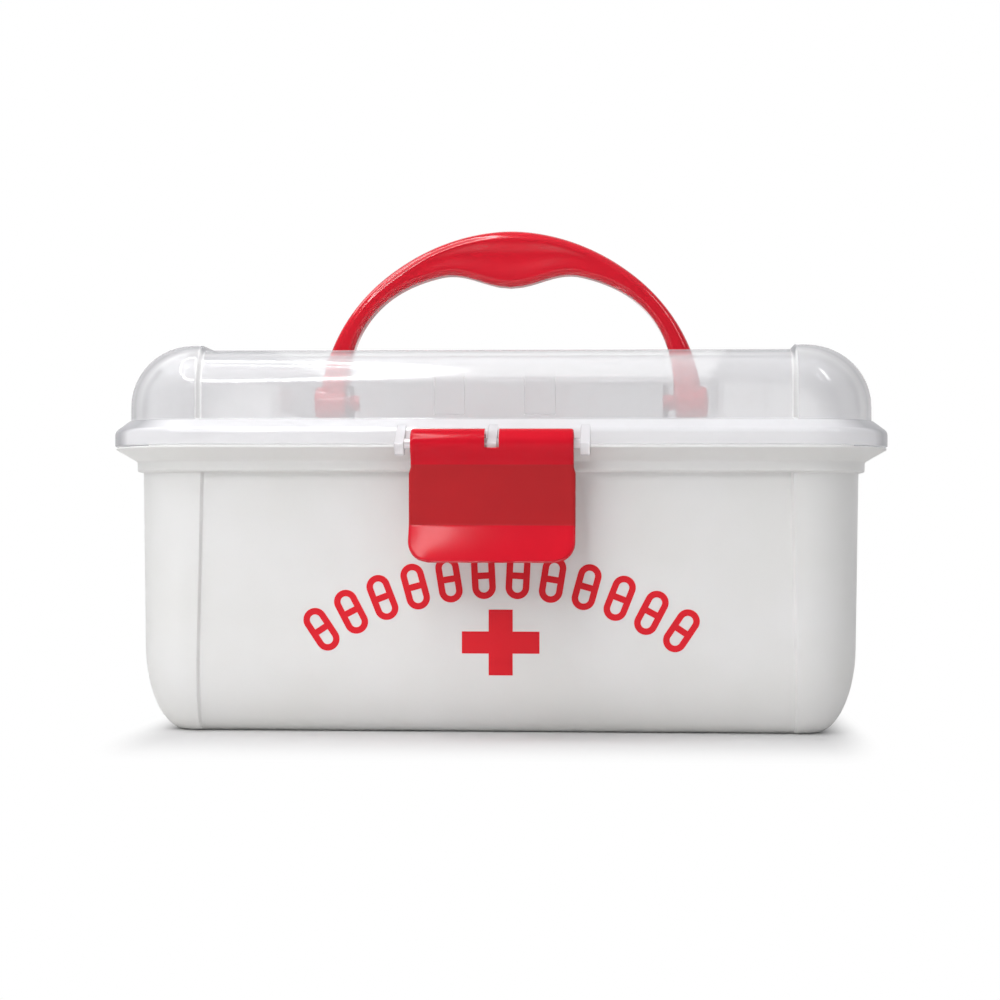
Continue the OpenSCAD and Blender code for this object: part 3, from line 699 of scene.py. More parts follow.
@dataclass
class CaseBody(Moulding):
    """Body moulding with corner pillars, set-in panels, a curved foot, a skirt and a flared rim."""

    wall: float = -10.3
    wall_top: float = 91.4
    top: float = 102.0
    skirt_base: float = 93.2
    skirt_out: float = 2.2
    skirt_top: float = 96.9
    rim_out: float = 9.9
    rim_edge: float = 101.3
    rim_width: float = 2.0
    bead_top: float = 104.5
    bead_width: float = 2.0
    # How far each corner of the rim's section is rounded, from the wall up and over to the inside.
    rim_edges: tuple[float, ...] = (0, 0.5, 0.9, 1.0, 0.35, 0.3, 0.4, 0.8, 0.5, 0.5, 0)
    draft: float = 1.5
    curve_inset: float = 14.0
    curve_rise: float = 30.0
    inner_curve_inset: float = 12.0
    outer_rows: tuple[float, ...] = (45.0, 62.0, 80.0)
    inner_rows: tuple[float, ...] = (90.0, 60.0)
    front_stops: tuple[float, ...] = (0, 16, 32, 48, 64, 80, 95)
    end_stops: tuple[float, ...] = (0, 15, 30, 42)
    panel_depth: float = 1.5
    wall_thickness: float = 2.2
    floor: float = 2.5
    reach: float = 19.7
    panel_top: float = 104.5
    panel_base: float = 106.5
    end_panel: float = 45.0
    step_half: float = 0.5
    rib: tuple[Flat, ...] = ((78.9, 61.9), (69.0, 61.9), (69.0, 2.0), (71.0, 4.6), (74.9, 12.0), (77.4, 24.0),
                             (78.2, 40.0))
    rib_offset: float = 60.0
    rib_width: float = 2.0
    rib_edge: float = 0.2
    ear_root: tuple[Flat, ...] = ((89.8, 101.0), (89.9, 98.4))
    ear_tip: Flat = (92.4, 101.6)
    ear_inset: float = 0.4
    ear_turn: Flat = (262.0, 430.0)
    ear_gap: float = 0.5
    ear_thickness: float = 3.0
    ear_edge: float = 0.35
    bar_radius: float = 2.0
    bar_hold: float = 0.3

    def wall_out(self, z: float) -> float:
        """Works out where the outer wall lies at a height.

        Args:
            z: The height.

        Returns:
            How far the wall lies outside its top outline, below 0 for inside.
        """
        lean = -self.draft * (1 - z / self.skirt_base)
        if z >= self.curve_rise:
            return lean
        a = math.acos(1 - z / self.curve_rise)
        return lean - self.curve_inset * (1 - math.sin(a))

    def section(self, set_in: float) -> list[Flat]:
        """Draws the section of the wall.

        Args:
            set_in: How deep the panel is set in there.

        Returns:
            Outward distances and heights, from under the floor round to its top.
        """
        heights = [self.curve_rise * (1 - c) for c, _ in quarter(18)] + [*self.outer_rows]
        outer = [(-set_in + self.wall_out(z), z) for z in heights]
        inner_out = -self.panel_depth - self.wall_thickness
        slope = (self.rim_edge - self.skirt_top) / (self.rim_out - self.skirt_out)
        bead_out = inner_out + self.bead_width
        lip_in = self.rim_out - self.rim_width
        rim = rounded(
            [(-set_in + self.wall_out(self.wall_top), self.wall_top), (-set_in, self.skirt_base),
             (self.skirt_out, self.skirt_base), (self.skirt_out, self.skirt_top),
             (self.rim_out, self.rim_edge), (self.rim_out, self.top), (lip_in, self.top),
             (bead_out, self.top - slope * (lip_in - bead_out)), (bead_out, self.bead_top),
             (inner_out, self.bead_top), (inner_out, self.inner_rows[0])],
            self.rim_edges)
        inner = []
        for c, s in quarter(12):
            z = self.floor + (self.curve_rise - self.floor) * (1 - s)
            lean = self.draft * (1 - z / self.skirt_base)
            inner.append((inner_out - lean - self.inner_curve_inset * (1 - c), z))
        return [(-self.reach, 0.0), *outer, *rim, (inner_out, self.inner_rows[1]), *inner,
                (-self.reach, self.floor)]

    def set_in(self, column: Column, stop: float) -> float:
        """Works out how deep the panel is set in at a column.

        Args:
            column: The column.
            stop: Its place along its side.

        Returns:
            The depth.
        """
        if 0 < column.turn < 1:
            return 0.0
        edge = self.panel_top if column.turn == 0 else self.end_panel
        along = (abs(stop) - edge + self.step_half) / (2 * self.step_half)
        return self.panel_depth * (1 - ease(along))

    def walls(self) -> None:
        """Adds the wall all round, the underside and the floor."""
        x_stops = mirrored([*self.front_stops, *step_stops(self.panel_top, self.step_half), CORNER_X])
        y_stops = mirrored([*self.end_stops, *step_stops(self.end_panel, self.step_half), CORNER_Y])
        lines = []
        for c in FLANGE.columns(x_stops, y_stops, CORNER_STEPS):
            stop = c.x if c.turn == 0 else c.y
            on_step = c.turn == 0 and abs(abs(stop) - self.panel_top) <= self.step_half + 0.01
            line = []
            for out, z in self.section(self.set_in(c, stop)):
                x, y, _ = c.at(self.wall + out, z)
                if on_step and z < self.skirt_base:
                    spread = (self.panel_base - self.panel_top) * (1 - z / self.skirt_base)
                    x += math.copysign(min(spread, CORNER_X - 0.02 - abs(stop)), x)
                line.append((x, y, z))
            lines.append(line)
        rows = self.skin.grid(lines, closed=True)
        for end in (0, -1):
            self.skin.face([r[end] for r in rows])

    def ribs(self) -> None:
        """Adds the upright ribs that carry the tray."""
        for x in (-self.rib_offset, self.rib_offset):
            for side in (-1, 1):
                self.skin.slab([(side * u, v) for u, v in self.rib], x, self.rib_width, self.rib_edge)
        further = FLANGE.half_x - FLANGE.half_y
        for side in (-1, 1):
            self.skin.prism([(side * (u + further), v) for u, v in self.rib], lambda u, v, d: (u, d, v),
                            -self.rib_width / 2, self.rib_width / 2, self.rib_edge)

    def ears(self) -> None:
        """Adds the ears and bars of the rear hinge."""
        radius = PIVOTS.hook_radius - self.ear_inset
        outline = [*self.ear_root, *arc(PIVOTS.rear, radius, *self.ear_turn, 14), self.ear_tip]
        half = PIVOTS.hook_width / 2 + self.ear_gap
        offset = half + self.ear_thickness / 2
        for middle in (-PIVOTS.hook_offset, PIVOTS.hook_offset):
            for end in (-1, 1):
                self.skin.slab(outline, middle + end * offset, self.ear_thickness, self.ear_edge)
            self.skin.rod(PIVOTS.rear, middle, 2 * (half + self.bar_hold), self.bar_radius)

    def build(self) -> bpy.types.Object:
        """Builds the body.

        Returns:
            The body.
        """
        self.walls()
        self.ribs()
        self.ears()
        piece = self.skin.finish("case_body_moulding", [WHITE_BODY.material()])
        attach(piece, Body.CASE.value)
        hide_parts("body_shell")
        return piece


# Clear lid


@dataclass
class ClearLid(Moulding):
    """Lid moulding: flange, sloping shoulder, dome with raised corners, trough, brackets, lugs and hooks."""

    base: float = 102.4
    face_top: float = 107.8
    shoulder_top: float = 111.6
    shoulder_in: float = 5.7
    top: float = 138.7
    end_radius: float = 22.0
    front_radius: float = 16.0
    panel: float = 1.7
    thickness: float = 2.0
    # Heights where the flange's outline ends; they only give its walls their direction.
    wall_guides: Flat = (112.4, 112.6)
    flange_wall: float = 2.0
    shoulder_wall: float = 1.0
    shoulder_run: float = 0.6
    # How far each corner of the flange's section is rounded, from the wall's inside round to its outside.
    flange_edges: tuple[float, ...] = (0, 0.7, 0.7, 0.6, 0.4, 0.4, 2.6, 0.9, 0.5, 0)
    front_stops: tuple[float, ...] = (0, 5, 16, 28, 40, 52, 64, 90, 98)
    end_stops: tuple[float, ...] = (0, 12, 24, 36, 52)
    block_x: float = 105.3
    block_y: float = 45.0
    step_half: float = 0.9
    pocket_half: float = 5.4
    pocket_offset: float = 16.0
    pocket_base: float = 113.2
    pocket_depth: float = 0.6
    pocket_edge: float = 0.12
    trough: Flat = (79.5, 69.1)
    trough_radius: float = 6.0
    trough_floor: float = 115.1
    trough_foot: float = 1.6
    trough_edge: float = 0.8
    trough_wall: float = 1.6
    bracket_offset: float = 61.5
    bracket_radius: float = 7.0
    bracket_edge: float = 0.3
    lugs: tuple[float, ...] = (-32.2, 0.0, 32.2)
    lug_width: float = 3.4
    lug_radius: float = 4.2
    lug_root: tuple[Flat, ...] = ((-92.6, 102.5), (-92.1, 102.7), (-92.1, 107.4), (-86.9, 111.2),
                                  (-92.6, 108.3))
    lug_edge: float = 0.35
    bar_radius: float = 1.9
    hook_root: tuple[Flat, ...] = ((92.1, 102.8), (92.1, 107.8), (94.5, 107.6))
    hook_edge: float = 0.25
    hook_bore: float = 2.1
    hook_mouth: float = 1.6
    hook_turn: Flat = (20.0, 140.0)
    # The shoulder's place as shares of the hook's radius.
    hook_shoulder: Flat = (0.93, 0.5)

    def radius(self, turn: float) -> float:
        """Returns the radius between wall and top, which grows from the front to the ends."""
        return self.front_radius + (self.end_radius - self.front_radius) * ease(turn)

    def recess(self, x: float, y: float) -> float:
        """Returns the share of the panel depth at a place in plan: 0 on the corner blocks, 1 elsewhere."""
        return 1 - math.prod(ease((abs(at) - edge + self.step_half) / (2 * self.step_half))
                             for at, edge in ((x, self.block_x), (y, self.block_y)))

    def x_stops(self) -> list[float]:
        """Works out the places of the columns along the front and back.

        Returns:
            The places along X, in rising order.
        """
        pocket = [self.pocket_offset + s * self.pocket_half + d
                  for s in (-1, 1) for d in (-self.pocket_edge, self.pocket_edge)]
        return mirrored([*self.front_stops, *pocket, self.trough[0] - self.trough_radius,
                         *step_stops(self.block_x, self.step_half), CORNER_X])

    def y_stops(self) -> list[float]:
        """Returns the places of the columns along the ends."""
        return mirrored([*self.end_stops, *step_stops(self.block_y, self.step_half), CORNER_Y])

    def dome_row(self, radius: float, set_in: float) -> list[Flat]:
        """Draws the wall and its turn into the top.

        Args:
            radius: Radius of the turn on the corner blocks.
            set_in: How far inside the corner blocks this skin lies.

        Returns:
            Outward distances and heights, from above the shoulder.
        """
        level = self.top - radius
        wall = -self.shoulder_in - set_in
        low = self.pocket_base + self.pocket_edge
        rows = [(wall, self.pocket_base - self.pocket_edge)]
        rows += [(wall, low + (level - low) * f) for f in (0, 0.33, 0.66)]
        inner = radius - set_in
        return rows + [(wall - inner * (1 - c), level + inner * s) for c, s in quarter(12)]

    def column_line(self, c: Column) -> list[Solid]:
        """Draws one column of the lid.

        Args:
            c: The column.

        Returns:
            Its points, from the inside of the top, round the flange, to the outside of the top.
        """
        radius = self.radius(c.turn)
        stop_x, stop_y = (c.x, FLANGE.half_y) if c.turn == 0 else (FLANGE.half_x, c.y)
        depth = 0.0 if 0 < c.turn < 1 else self.panel * self.recess(stop_x, stop_y)
        wall_in = -self.shoulder_in - self.panel - self.thickness
        wall_out = -self.shoulder_in - depth
        under = self.shoulder_top - self.thickness
        flange = rounded(
            [(wall_in, self.wall_guides[0]), (wall_in, under),
             (-self.shoulder_in - self.shoulder_wall, under),
             (-self.flange_wall, self.face_top - self.shoulder_wall), (-self.flange_wall, self.base),
             (0.0, self.base), (0.0, self.face_top),
             (-self.shoulder_in + self.shoulder_run, self.shoulder_top),
             (wall_out, self.shoulder_top), (wall_out, self.wall_guides[1])],
            self.flange_edges)
        inside = self.dome_row(radius, self.panel + self.thickness)[::-1]
        outside = self.dome_row(radius, depth)
        if c.turn == 0 and c.y < 0 and abs(abs(c.x) - self.pocket_offset) < self.pocket_half:
            floor = -self.shoulder_in - self.panel - self.pocket_depth
            outside = [(min(u, floor) if z > self.pocket_base else u, z) for u, z in outside]
        return [c.at(u, z) for u, z in inside + flange[1:-1] + outside]

    def hole(self) -> list[Column]:
        """Draws the trough's outline.

        Returns:
            Its columns, which point outward, anticlockwise from the front left.
        """
        cx, cy = (half - self.trough_radius for half in self.trough)
        xs = [x for x in self.x_stops() if abs(x) <= cx + 0.01]
        ys = sorted({*[y for y in self.y_stops() if abs(y) < cy], -cy, cy})
        return Plan(*self.trough, self.trough_radius).columns(xs, ys, 6)

    def top_patch(self, grow: float, level: Callable[[float, float], float]) -> None:
        """Adds the top between the dome's turn and the trough.

        Args:
            grow: Distance of its inner edge outward from the trough's outline.
            level: Gives its height at a place in plan.
        """
        edge_x, edge_y = (half + grow for half in self.trough)
        arc_x, arc_y = (half - self.trough_radius for half in self.trough)
        r = self.trough_radius + grow
        flat_x = FLANGE.half_x - self.shoulder_in - self.end_radius
        flat_y = FLANGE.half_y - self.shoulder_in - self.front_radius
        x_lines = sorted({round(x, 5) for x in (*self.x_stops(), -edge_x, edge_x)})
        ends = self.y_stops()

        def patch(*corners: Flat) -> None:
            """Adds one face of the top."""
            self.skin.polygon([(x, y, level(x, y)) for x, y in corners])

        for x0, x1 in pairwise(x_lines):
            nearest = min(abs(x0), abs(x1))
            outside = nearest >= edge_x - 0.01
            for y0, y1 in pairwise(ends) if outside else ():
                patch((x0, y0), (x1, y0), (x1, y1), (x0, y1))
            for sy in (-1, 1):
                for y0, y1 in pairwise((CORNER_Y, arc_y, edge_y, flat_y)):
                    if outside or y0 == edge_y:
                        patch((x0, sy * y0), (x1, sy * y0), (x1, sy * y1), (x0, sy * y1))
                if not outside and nearest >= arc_x - 0.01:
                    sx = math.copysign(1, x0)
                    patch((sx * edge_x, sy * edge_y),
                          *[(sx * (arc_x + r * c), sy * (arc_y + r * s)) for c, s in quarter(6)])
        for sx in (-1, 1):
            for y0, y1 in pairwise(ends):
                patch((sx * CORNER_X, y0), (sx * flat_x, y0), (sx * flat_x, y1), (sx * CORNER_X, y1))
            for sy in (-1, 1):
                ring = []
                for k, (c, s) in enumerate(quarter(CORNER_STEPS)):
                    reach = FLANGE.radius - self.shoulder_in - self.radius(1 - k / CORNER_STEPS)
                    ring.append((sx * (CORNER_X + reach * c), sy * (CORNER_Y + reach * s)))
                centre = (sx * CORNER_X, sy * CORNER_Y)
                for a, b in pairwise(ring[:-1]):
                    patch(centre, a, b)
                patch(centre, *ring[-2:], (sx * CORNER_X, sy * edge_y), (sx * CORNER_X, sy * arc_y))

    def trough_walls(self, grow: float, level: float, floor: float, edge: float) -> None:
        """Adds the walls and the floor of the trough.

        Args:
            grow: Distance of the walls outward from the trough's own outline.
            level: Height of the top that they hang from.
            floor: Height of the floor.
            edge: Radius of the turn at the top, 0 for a sharp one.
        """
        foot = self.trough_foot
        turn = [(grow + edge * (1 - s), level - edge * (1 - c)) for c, s in quarter(4)]
        profile = turn if edge > 0 else turn[:1]
        profile += [(grow, floor + foot + (level - edge - floor - foot) * f) for f in (0.66, 0.33)]
        profile += [(grow - foot * (1 - c), floor + foot * (1 - s)) for c, s in quarter(5)]
        columns = self.hole()
        rows = self.skin.grid([[c.at(g, z) for c in columns] for g, z in profile], looped=True)
        self.skin.face(rows[-1])

    def brackets(self) -> None:
        """Adds the two plates that carry the handle's pins."""
        r, foot = self.bracket_radius, self.trough_floor - 0.5
        outline = [(-r, foot), (r, foot), *arc((0, PIVOTS.handle), r, 0, 180, 20)]
        for middle in (-self.bracket_offset, self.bracket_offset):
            self.skin.slab(outline, middle, self.thickness, self.bracket_edge)

    def front_bar(self) -> None:
        """Adds the lugs and the bar that the latch clips on."""
        outline = [*arc(PIVOTS.latch, self.lug_radius, 180, 280, 8), *self.lug_root]
        for x in self.lugs:
            self.skin.slab(outline, x, self.lug_width, self.lug_edge)
        self.skin.rod(PIVOTS.latch, 0.0, self.lugs[-1] - self.lugs[0], self.bar_radius)

    def rear_hooks(self) -> None:
        """Adds the open hooks round the bars of the body."""
        (y, z), r = PIVOTS.rear, PIVOTS.hook_radius
        half, mouth = (math.degrees(math.asin(self.hook_mouth / radius)) for radius in (self.hook_bore, r))
        outline = [*self.hook_root, (y + r * self.hook_shoulder[0], z + r * self.hook_shoulder[1]),
                   *arc(PIVOTS.rear, r, self.hook_turn[0], -90 + mouth, 10),
                   *arc(PIVOTS.rear, self.hook_bore, -90 + half, 270 - half, 20),
                   *arc(PIVOTS.rear, r, 270 - mouth, self.hook_turn[1], 8)]
        for middle in (-PIVOTS.hook_offset, PIVOTS.hook_offset):
            self.skin.slab(outline, middle, PIVOTS.hook_width, self.hook_edge)

    def build(self) -> bpy.types.Object:
        """Builds the lid.

        Returns:
            The lid.
        """
        columns = FLANGE.columns(self.x_stops(), self.y_stops(), CORNER_STEPS)
        self.skin.grid([self.column_line(c) for c in columns], closed=True)
        inner_level = self.top - self.panel - self.thickness
        self.top_patch(self.trough_edge, lambda x, y: self.top - self.panel * self.recess(x, y))
        self.top_patch(self.trough_wall, lambda x, y: inner_level)
        self.trough_walls(0.0, self.top - self.panel, self.trough_floor, self.trough_edge)
        self.trough_walls(self.trough_wall, inner_level, self.trough_floor - self.thickness, 0.0)
        self.brackets()
        self.front_bar()
        self.rear_hooks()
        piece = self.skin.finish("lid_moulding", [CLEAR_LID.material()])
        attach(piece, Body.LID.value)
        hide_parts("lid_shell")
        return piece


# Carrying handle


@dataclass
class CarryHandle(Moulding):
    """One moulding: an arched grip with a finger swell, two eyes and two pins."""

    shift: float = 1.3
    relief: float = 62.9
    relief_radius: float = 9.3
    half_width: float = 74.1
    rise: float = 66.8
    outer_power: float = 1.9
    opening_half: float = 63.3
    opening_rise: float = 51.4
    inner_power: float = 2.6
    swell: float = 6.5
    swell_half: float = 27.0
    thickness: float = 11.0
    opening_edge: float = 2.6
    outer_edge: float = 3.8
    # The most of the grip's width that the rounding of each edge takes.
    opening_share: float = 0.3
    outer_share: float = 0.4
    dish: float = 0.7
    dish_from: float = 10.0
    dish_full: float = 19.0
    eye_radius: float = 6.5
    eye_inner: float = 64.2
    eye_length: float = 12.8
    eye_dome: float = 2.0
    eye_edge: float = 0.4
    eye_soft: float = 0.12
    eye_sides: int = 36
    pin_radius: float = 3.1
    pin_inner: float = 59.0
    arch_steps: int = 90
    face_steps: int = 8
    side_steps: int = 3

    def arch(self, angle: float, half: float, rise: float, power: float) -> Flat:
        """Returns the point of a flattened arch at an angle in radians."""
        c, s, p = math.cos(angle), math.sin(angle), 2 / power
        return (half * math.copysign(abs(c) ** p, c), rise * abs(s) ** p)

    def inner(self, angle: float) -> Flat:
        """Works out a point of the finger opening.

        Args:
            angle: Its angle in radians.

        Returns:
            Its place along X and its height over the pivot, lower at the finger swell.
        """
        x, height = self.arch(angle, self.opening_half, self.opening_rise, self.inner_power)
        if abs(x) < self.swell_half:
            height -= self.swell * math.cos(math.pi / 2 * x / self.swell_half) ** 2
        return (x, height)

    def outer(self, angle: float) -> Flat:
        """Returns the point of the outer arch at an angle in radians."""
        return self.arch(angle, self.half_width, self.rise, self.outer_power)

    def loop(self, a: Flat, b: Flat) -> list[Solid]:
        """Draws one section of the grip.

        Args:
            a: Its point on the finger opening.
            b: Its point on the outer arch.

        Returns:
            Its outline, dished on both faces where it is wide and set back from the brackets.
        """
        start, end = Vector(a), Vector(b)
        width = (end - start).length
        along = (end - start) / width
        half = self.thickness / 2
        across, upright = self.face_steps, self.side_steps
        edge = min(self.opening_edge, width * self.opening_share)
        round_over = min(self.outer_edge, width * self.outer_share)
        corners = rounded([(0, -half), (width, -half), (width, half), (0, half)],
                          [edge, round_over, round_over, edge], 6, closed=True)
        points: list[Flat] = []
        for p, q in pairwise(corners + corners[:1]):
            points.append(p)
            if abs(p[1] - q[1]) < TINY and abs(p[0] - q[0]) > 0.5 * edge:
                points += [(p[0] + (q[0] - p[0]) * k / across, p[1]) for k in range(1, across)]
            elif abs(p[0] - q[0]) < TINY and abs(p[1] - q[1]) > 0.5 * edge:
                points += [(p[0], p[1] + (q[1] - p[1]) * k / upright) for k in range(1, upright)]
        out = []
        flat = width - 2 * edge
        hollow = self.dish * ease((width - self.dish_from) / (self.dish_full - self.dish_from))
        for u, y in points:
            if flat > 0.5 and abs(abs(y) - half) < TINY:
                t = abs(u - width / 2) / (flat / 2)
                y -= math.copysign(hollow * (1 - ease(t)), y)
            p = start + along * u
            x = p.x + self.shift
            if abs(x) < self.relief and math.hypot(p.y, y) < self.relief_radius:
                x = math.copysign(self.relief, x)
            out.append((x, y, p.y + PIVOTS.handle))
        return out

    def eyes(self) -> None:
        """Adds the eyes with their domed ends and the pins."""
        pin, eye, axis = self.pin_inner, self.eye_inner, (0, PIVOTS.handle)
        dome = eye + self.eye_length - self.eye_dome
        cut, soft, sides = self.eye_edge, self.eye_soft, self.eye_sides
        turned = [(pin, self.pin_radius - cut), (pin + cut, self.pin_radius), (eye - 0.01, self.pin_radius),
                  (eye, self.eye_radius - cut), (eye + soft, self.eye_radius - soft),
                  (eye + cut, self.eye_radius),
                  *[(dome + self.eye_dome * s, self.eye_radius * c) for c, s in quarter(6)[:-1]]]
        for side in (-1, 1):
            rows = self.skin.grid([[(side * x + self.shift, u, v)
                                    for u, v in arc(axis, r, 0, 360 - 360 / sides, sides - 1)]
                                   for x, r in turned], looped=True)
            for end in (0, -1):
                self.skin.face(rows[end])

    def build(self) -> bpy.types.Object:
        """Builds the handle.

        Returns:
            The handle.
        """
        angles = [math.pi * (1 - k / self.arch_steps) for k in range(self.arch_steps + 1)]
        rows = self.skin.grid([self.loop(self.inner(a), self.outer(a)) for a in angles], looped=True)
        for end in (0, -1):
            self.skin.face(rows[end])
        self.eyes()
        piece = self.skin.finish("carry_handle_moulding", [RED_HANDLE.material()])
        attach(piece, Body.HANDLE.value)
        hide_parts("carry_handle")
        return piece


# Snap latch


@dataclass
class SnapLatch(Moulding):
    """Barrel, flat plate and flared pull lip in one moulding, with cheeks and two clips behind it."""

    barrel: float = 5.2
    barrel_back: float = 157.0
    # The barrel's wall as a share of the plate's.
    barrel_share: float = 0.72
    neck: tuple[Flat, ...] = ((0.985, 0.16), (0.93, 0.36), (0.86, 0.54), (0.78, 0.7), (0.68, 0.88),
                              (0.58, 1.06), (0.5, 1.24))
    # Stand-offs from the plate, and drops as shares of the barrel's radius.
    plate_lead: tuple[Flat, ...] = ((0.15, 1.42), (0.02, 1.6))
    wall: float = 2.2
    upper_half: float = 28.3
    lower_half: float = 28.9
    step: float = 9.4
    crease: float = 28.4
    plate_rows: tuple[float, ...] = (14.0, 20.0, 25.0)
    plate_stops: tuple[float, ...] = (5.4, 10.6, 16.0, 21.4)
    length: float = 40.6
    flare: float = 5.4
    flare_bend: float = 0.28
    flare_steps: int = 14
    corner: float = 7.2
    cheek: float = 4.6
    cheek_root: float = 0.5
    cheek_top: float = 0.4
    cheek_inset: float = 0.15
    cheek_edge: float = 0.3
    clip_width: float = 10.8
    clip_offset: float = 16.0
    clip_wall: float = 1.4
    bore: float = 2.0
    mouth_half: float = 1.615
    notch_half: float = 2.5
    notch_drop: float = 2.1
    notch_stops: tuple[float, ...] = (0.0, 0.25, 0.7, 3.0)
    soft_edge: float = 1.1
    # Places across the softened side edges, as shares of their width.
    edge_shares: tuple[float, ...] = (1.0, 0.6, 0.4, 0.25, 0.14, 0.06, 0.0)
    stop_gap: float = 0.4
    gloss_above: float = -7.0

    def profile(self) -> list[Flat]:
        """Draws the outer skin in section.

        Returns:
            Outward distances and heights from the axis, from the back of the barrel to the end of the lip.
        """
        r, drop, bend = self.barrel, self.length - self.crease, self.flare_bend
        line = arc((0, 0), r, self.barrel_back, 0, 16) + [(r * out, -r * down) for out, down in self.neck]
        line += [(self.wall + off, -r * down) for off, down in self.plate_lead]
        drops = (self.step, self.step + 1.0, *self.plate_rows, self.crease - 0.6, self.crease)
        line += [(self.wall, -down) for down in drops]
        for t in (k / self.flare_steps for k in range(1, self.flare_steps + 1)):
            line.append((self.wall + self.flare * ((1 + bend) * t - bend * t * t), -self.crease - drop * t))
        return line

    def half_at(self, drop: float) -> float:
        """Works out the half width at a height.

        Args:
            drop: The distance below the axis.

        Returns:
            The half width, smaller in the rounded corners of the lip.
        """
        half = self.upper_half + (self.lower_half - self.upper_half) * ease(drop - self.step + 0.5)
        low = drop - (self.length - self.corner)
        if low > 0:
            half -= self.corner - math.sqrt(max(0.0, self.corner ** 2 - low ** 2))
        return half

    def shell(self) -> None:
        """Adds the barrel, plate and lip with softened side edges and the notch for the middle lug."""
        line = self.profile()
        y0, z0 = PIVOTS.latch
        notch, soft = self.notch_half, self.soft_edge
        front, back = [], []
        for i, (out, up) in enumerate(line):
            (x_last, z_last), (x_next, z_next) = line[max(0, i - 1)], line[min(len(line) - 1, i + 1)]
            d = Vector((x_next - x_last, z_next - z_last)).normalized()
            inward = Vector((d.y, -d.x))
            half = self.half_at(-up)
            sides = [half - soft * f for f in self.edge_shares]
            stops = mirrored([0.0, *[notch + past for past in self.notch_stops],
                              *[min(stop, sides[0] - self.stop_gap) for stop in self.plate_stops], *sides])
            depth = self.wall * (self.barrel_share if up > -self.barrel else 1.0)
            edges = [soft - min(soft, half - abs(x)) for x in stops]
            pulls = [soft - math.sqrt(max(0.0, soft ** 2 - edge ** 2)) for edge in edges]
            for rows, ins in ((front, pulls), (back, [max(pull, depth) for pull in pulls])):
                rows.append([(x, y0 - (out + inward.x * far), z0 + up + inward.y * far)
                             for x, far in zip(stops, ins)])
        middle = len(front[0]) // 2
        levels = [up for _, up in line]
        crease_row = next(i for i, level in enumerate(levels) if level <= -self.crease)

        def keep(i: int, j: int) -> bool:
            """Returns False for the cells of the notch."""
            return not (levels[i + 1] > -self.notch_drop and j in (middle - 1, middle))

        self.skin.sheet(front, back, keep, lambda i: int(i >= crease_row or levels[i] > self.gloss_above))

    def cheeks_and_clips(self) -> None:
        """Adds the side cheeks behind the plate and the clips that hold the bar."""
        y0, z0 = PIVOTS.latch
        cheek = [(self.cheek_root, -self.step), (self.cheek_root, -self.crease),
                 (-self.cheek, -self.crease + self.cheek), (-self.cheek, -self.step - self.cheek),
                 (-self.cheek_top, -self.step)]
        outer = self.barrel - self.clip_wall
        half, outside = (math.degrees(math.asin(self.mouth_half / radius)) for radius in (self.bore, outer))
        clip = [*arc((0, 0), outer, 180 + outside, 540 - outside, 24),
                *arc((0, 0), self.bore, 540 - half, 180 + half, 20)]
        cheek_offset = self.lower_half - self.cheek_inset - self.wall / 2
        for outline, offset, width, bevel in ((cheek, cheek_offset, self.wall, self.cheek_edge),
                                              (clip, self.clip_offset, self.clip_width, 0.0)):
            for middle in (-offset, offset):
                self.skin.slab([(y0 - u, z0 + v) for u, v in outline], middle, width, bevel)

    def build(self) -> bpy.types.Object:
        """Builds the latch.

        Returns:
            The latch.
        """
        self.shell()
        self.cheeks_and_clips()
        piece = self.skin.finish("latch_moulding", [RED_PLATE.material(), RED_LIP.material()])
        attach(piece, Body.LATCH.value)
        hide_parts("latch")
        return piece


# Tray


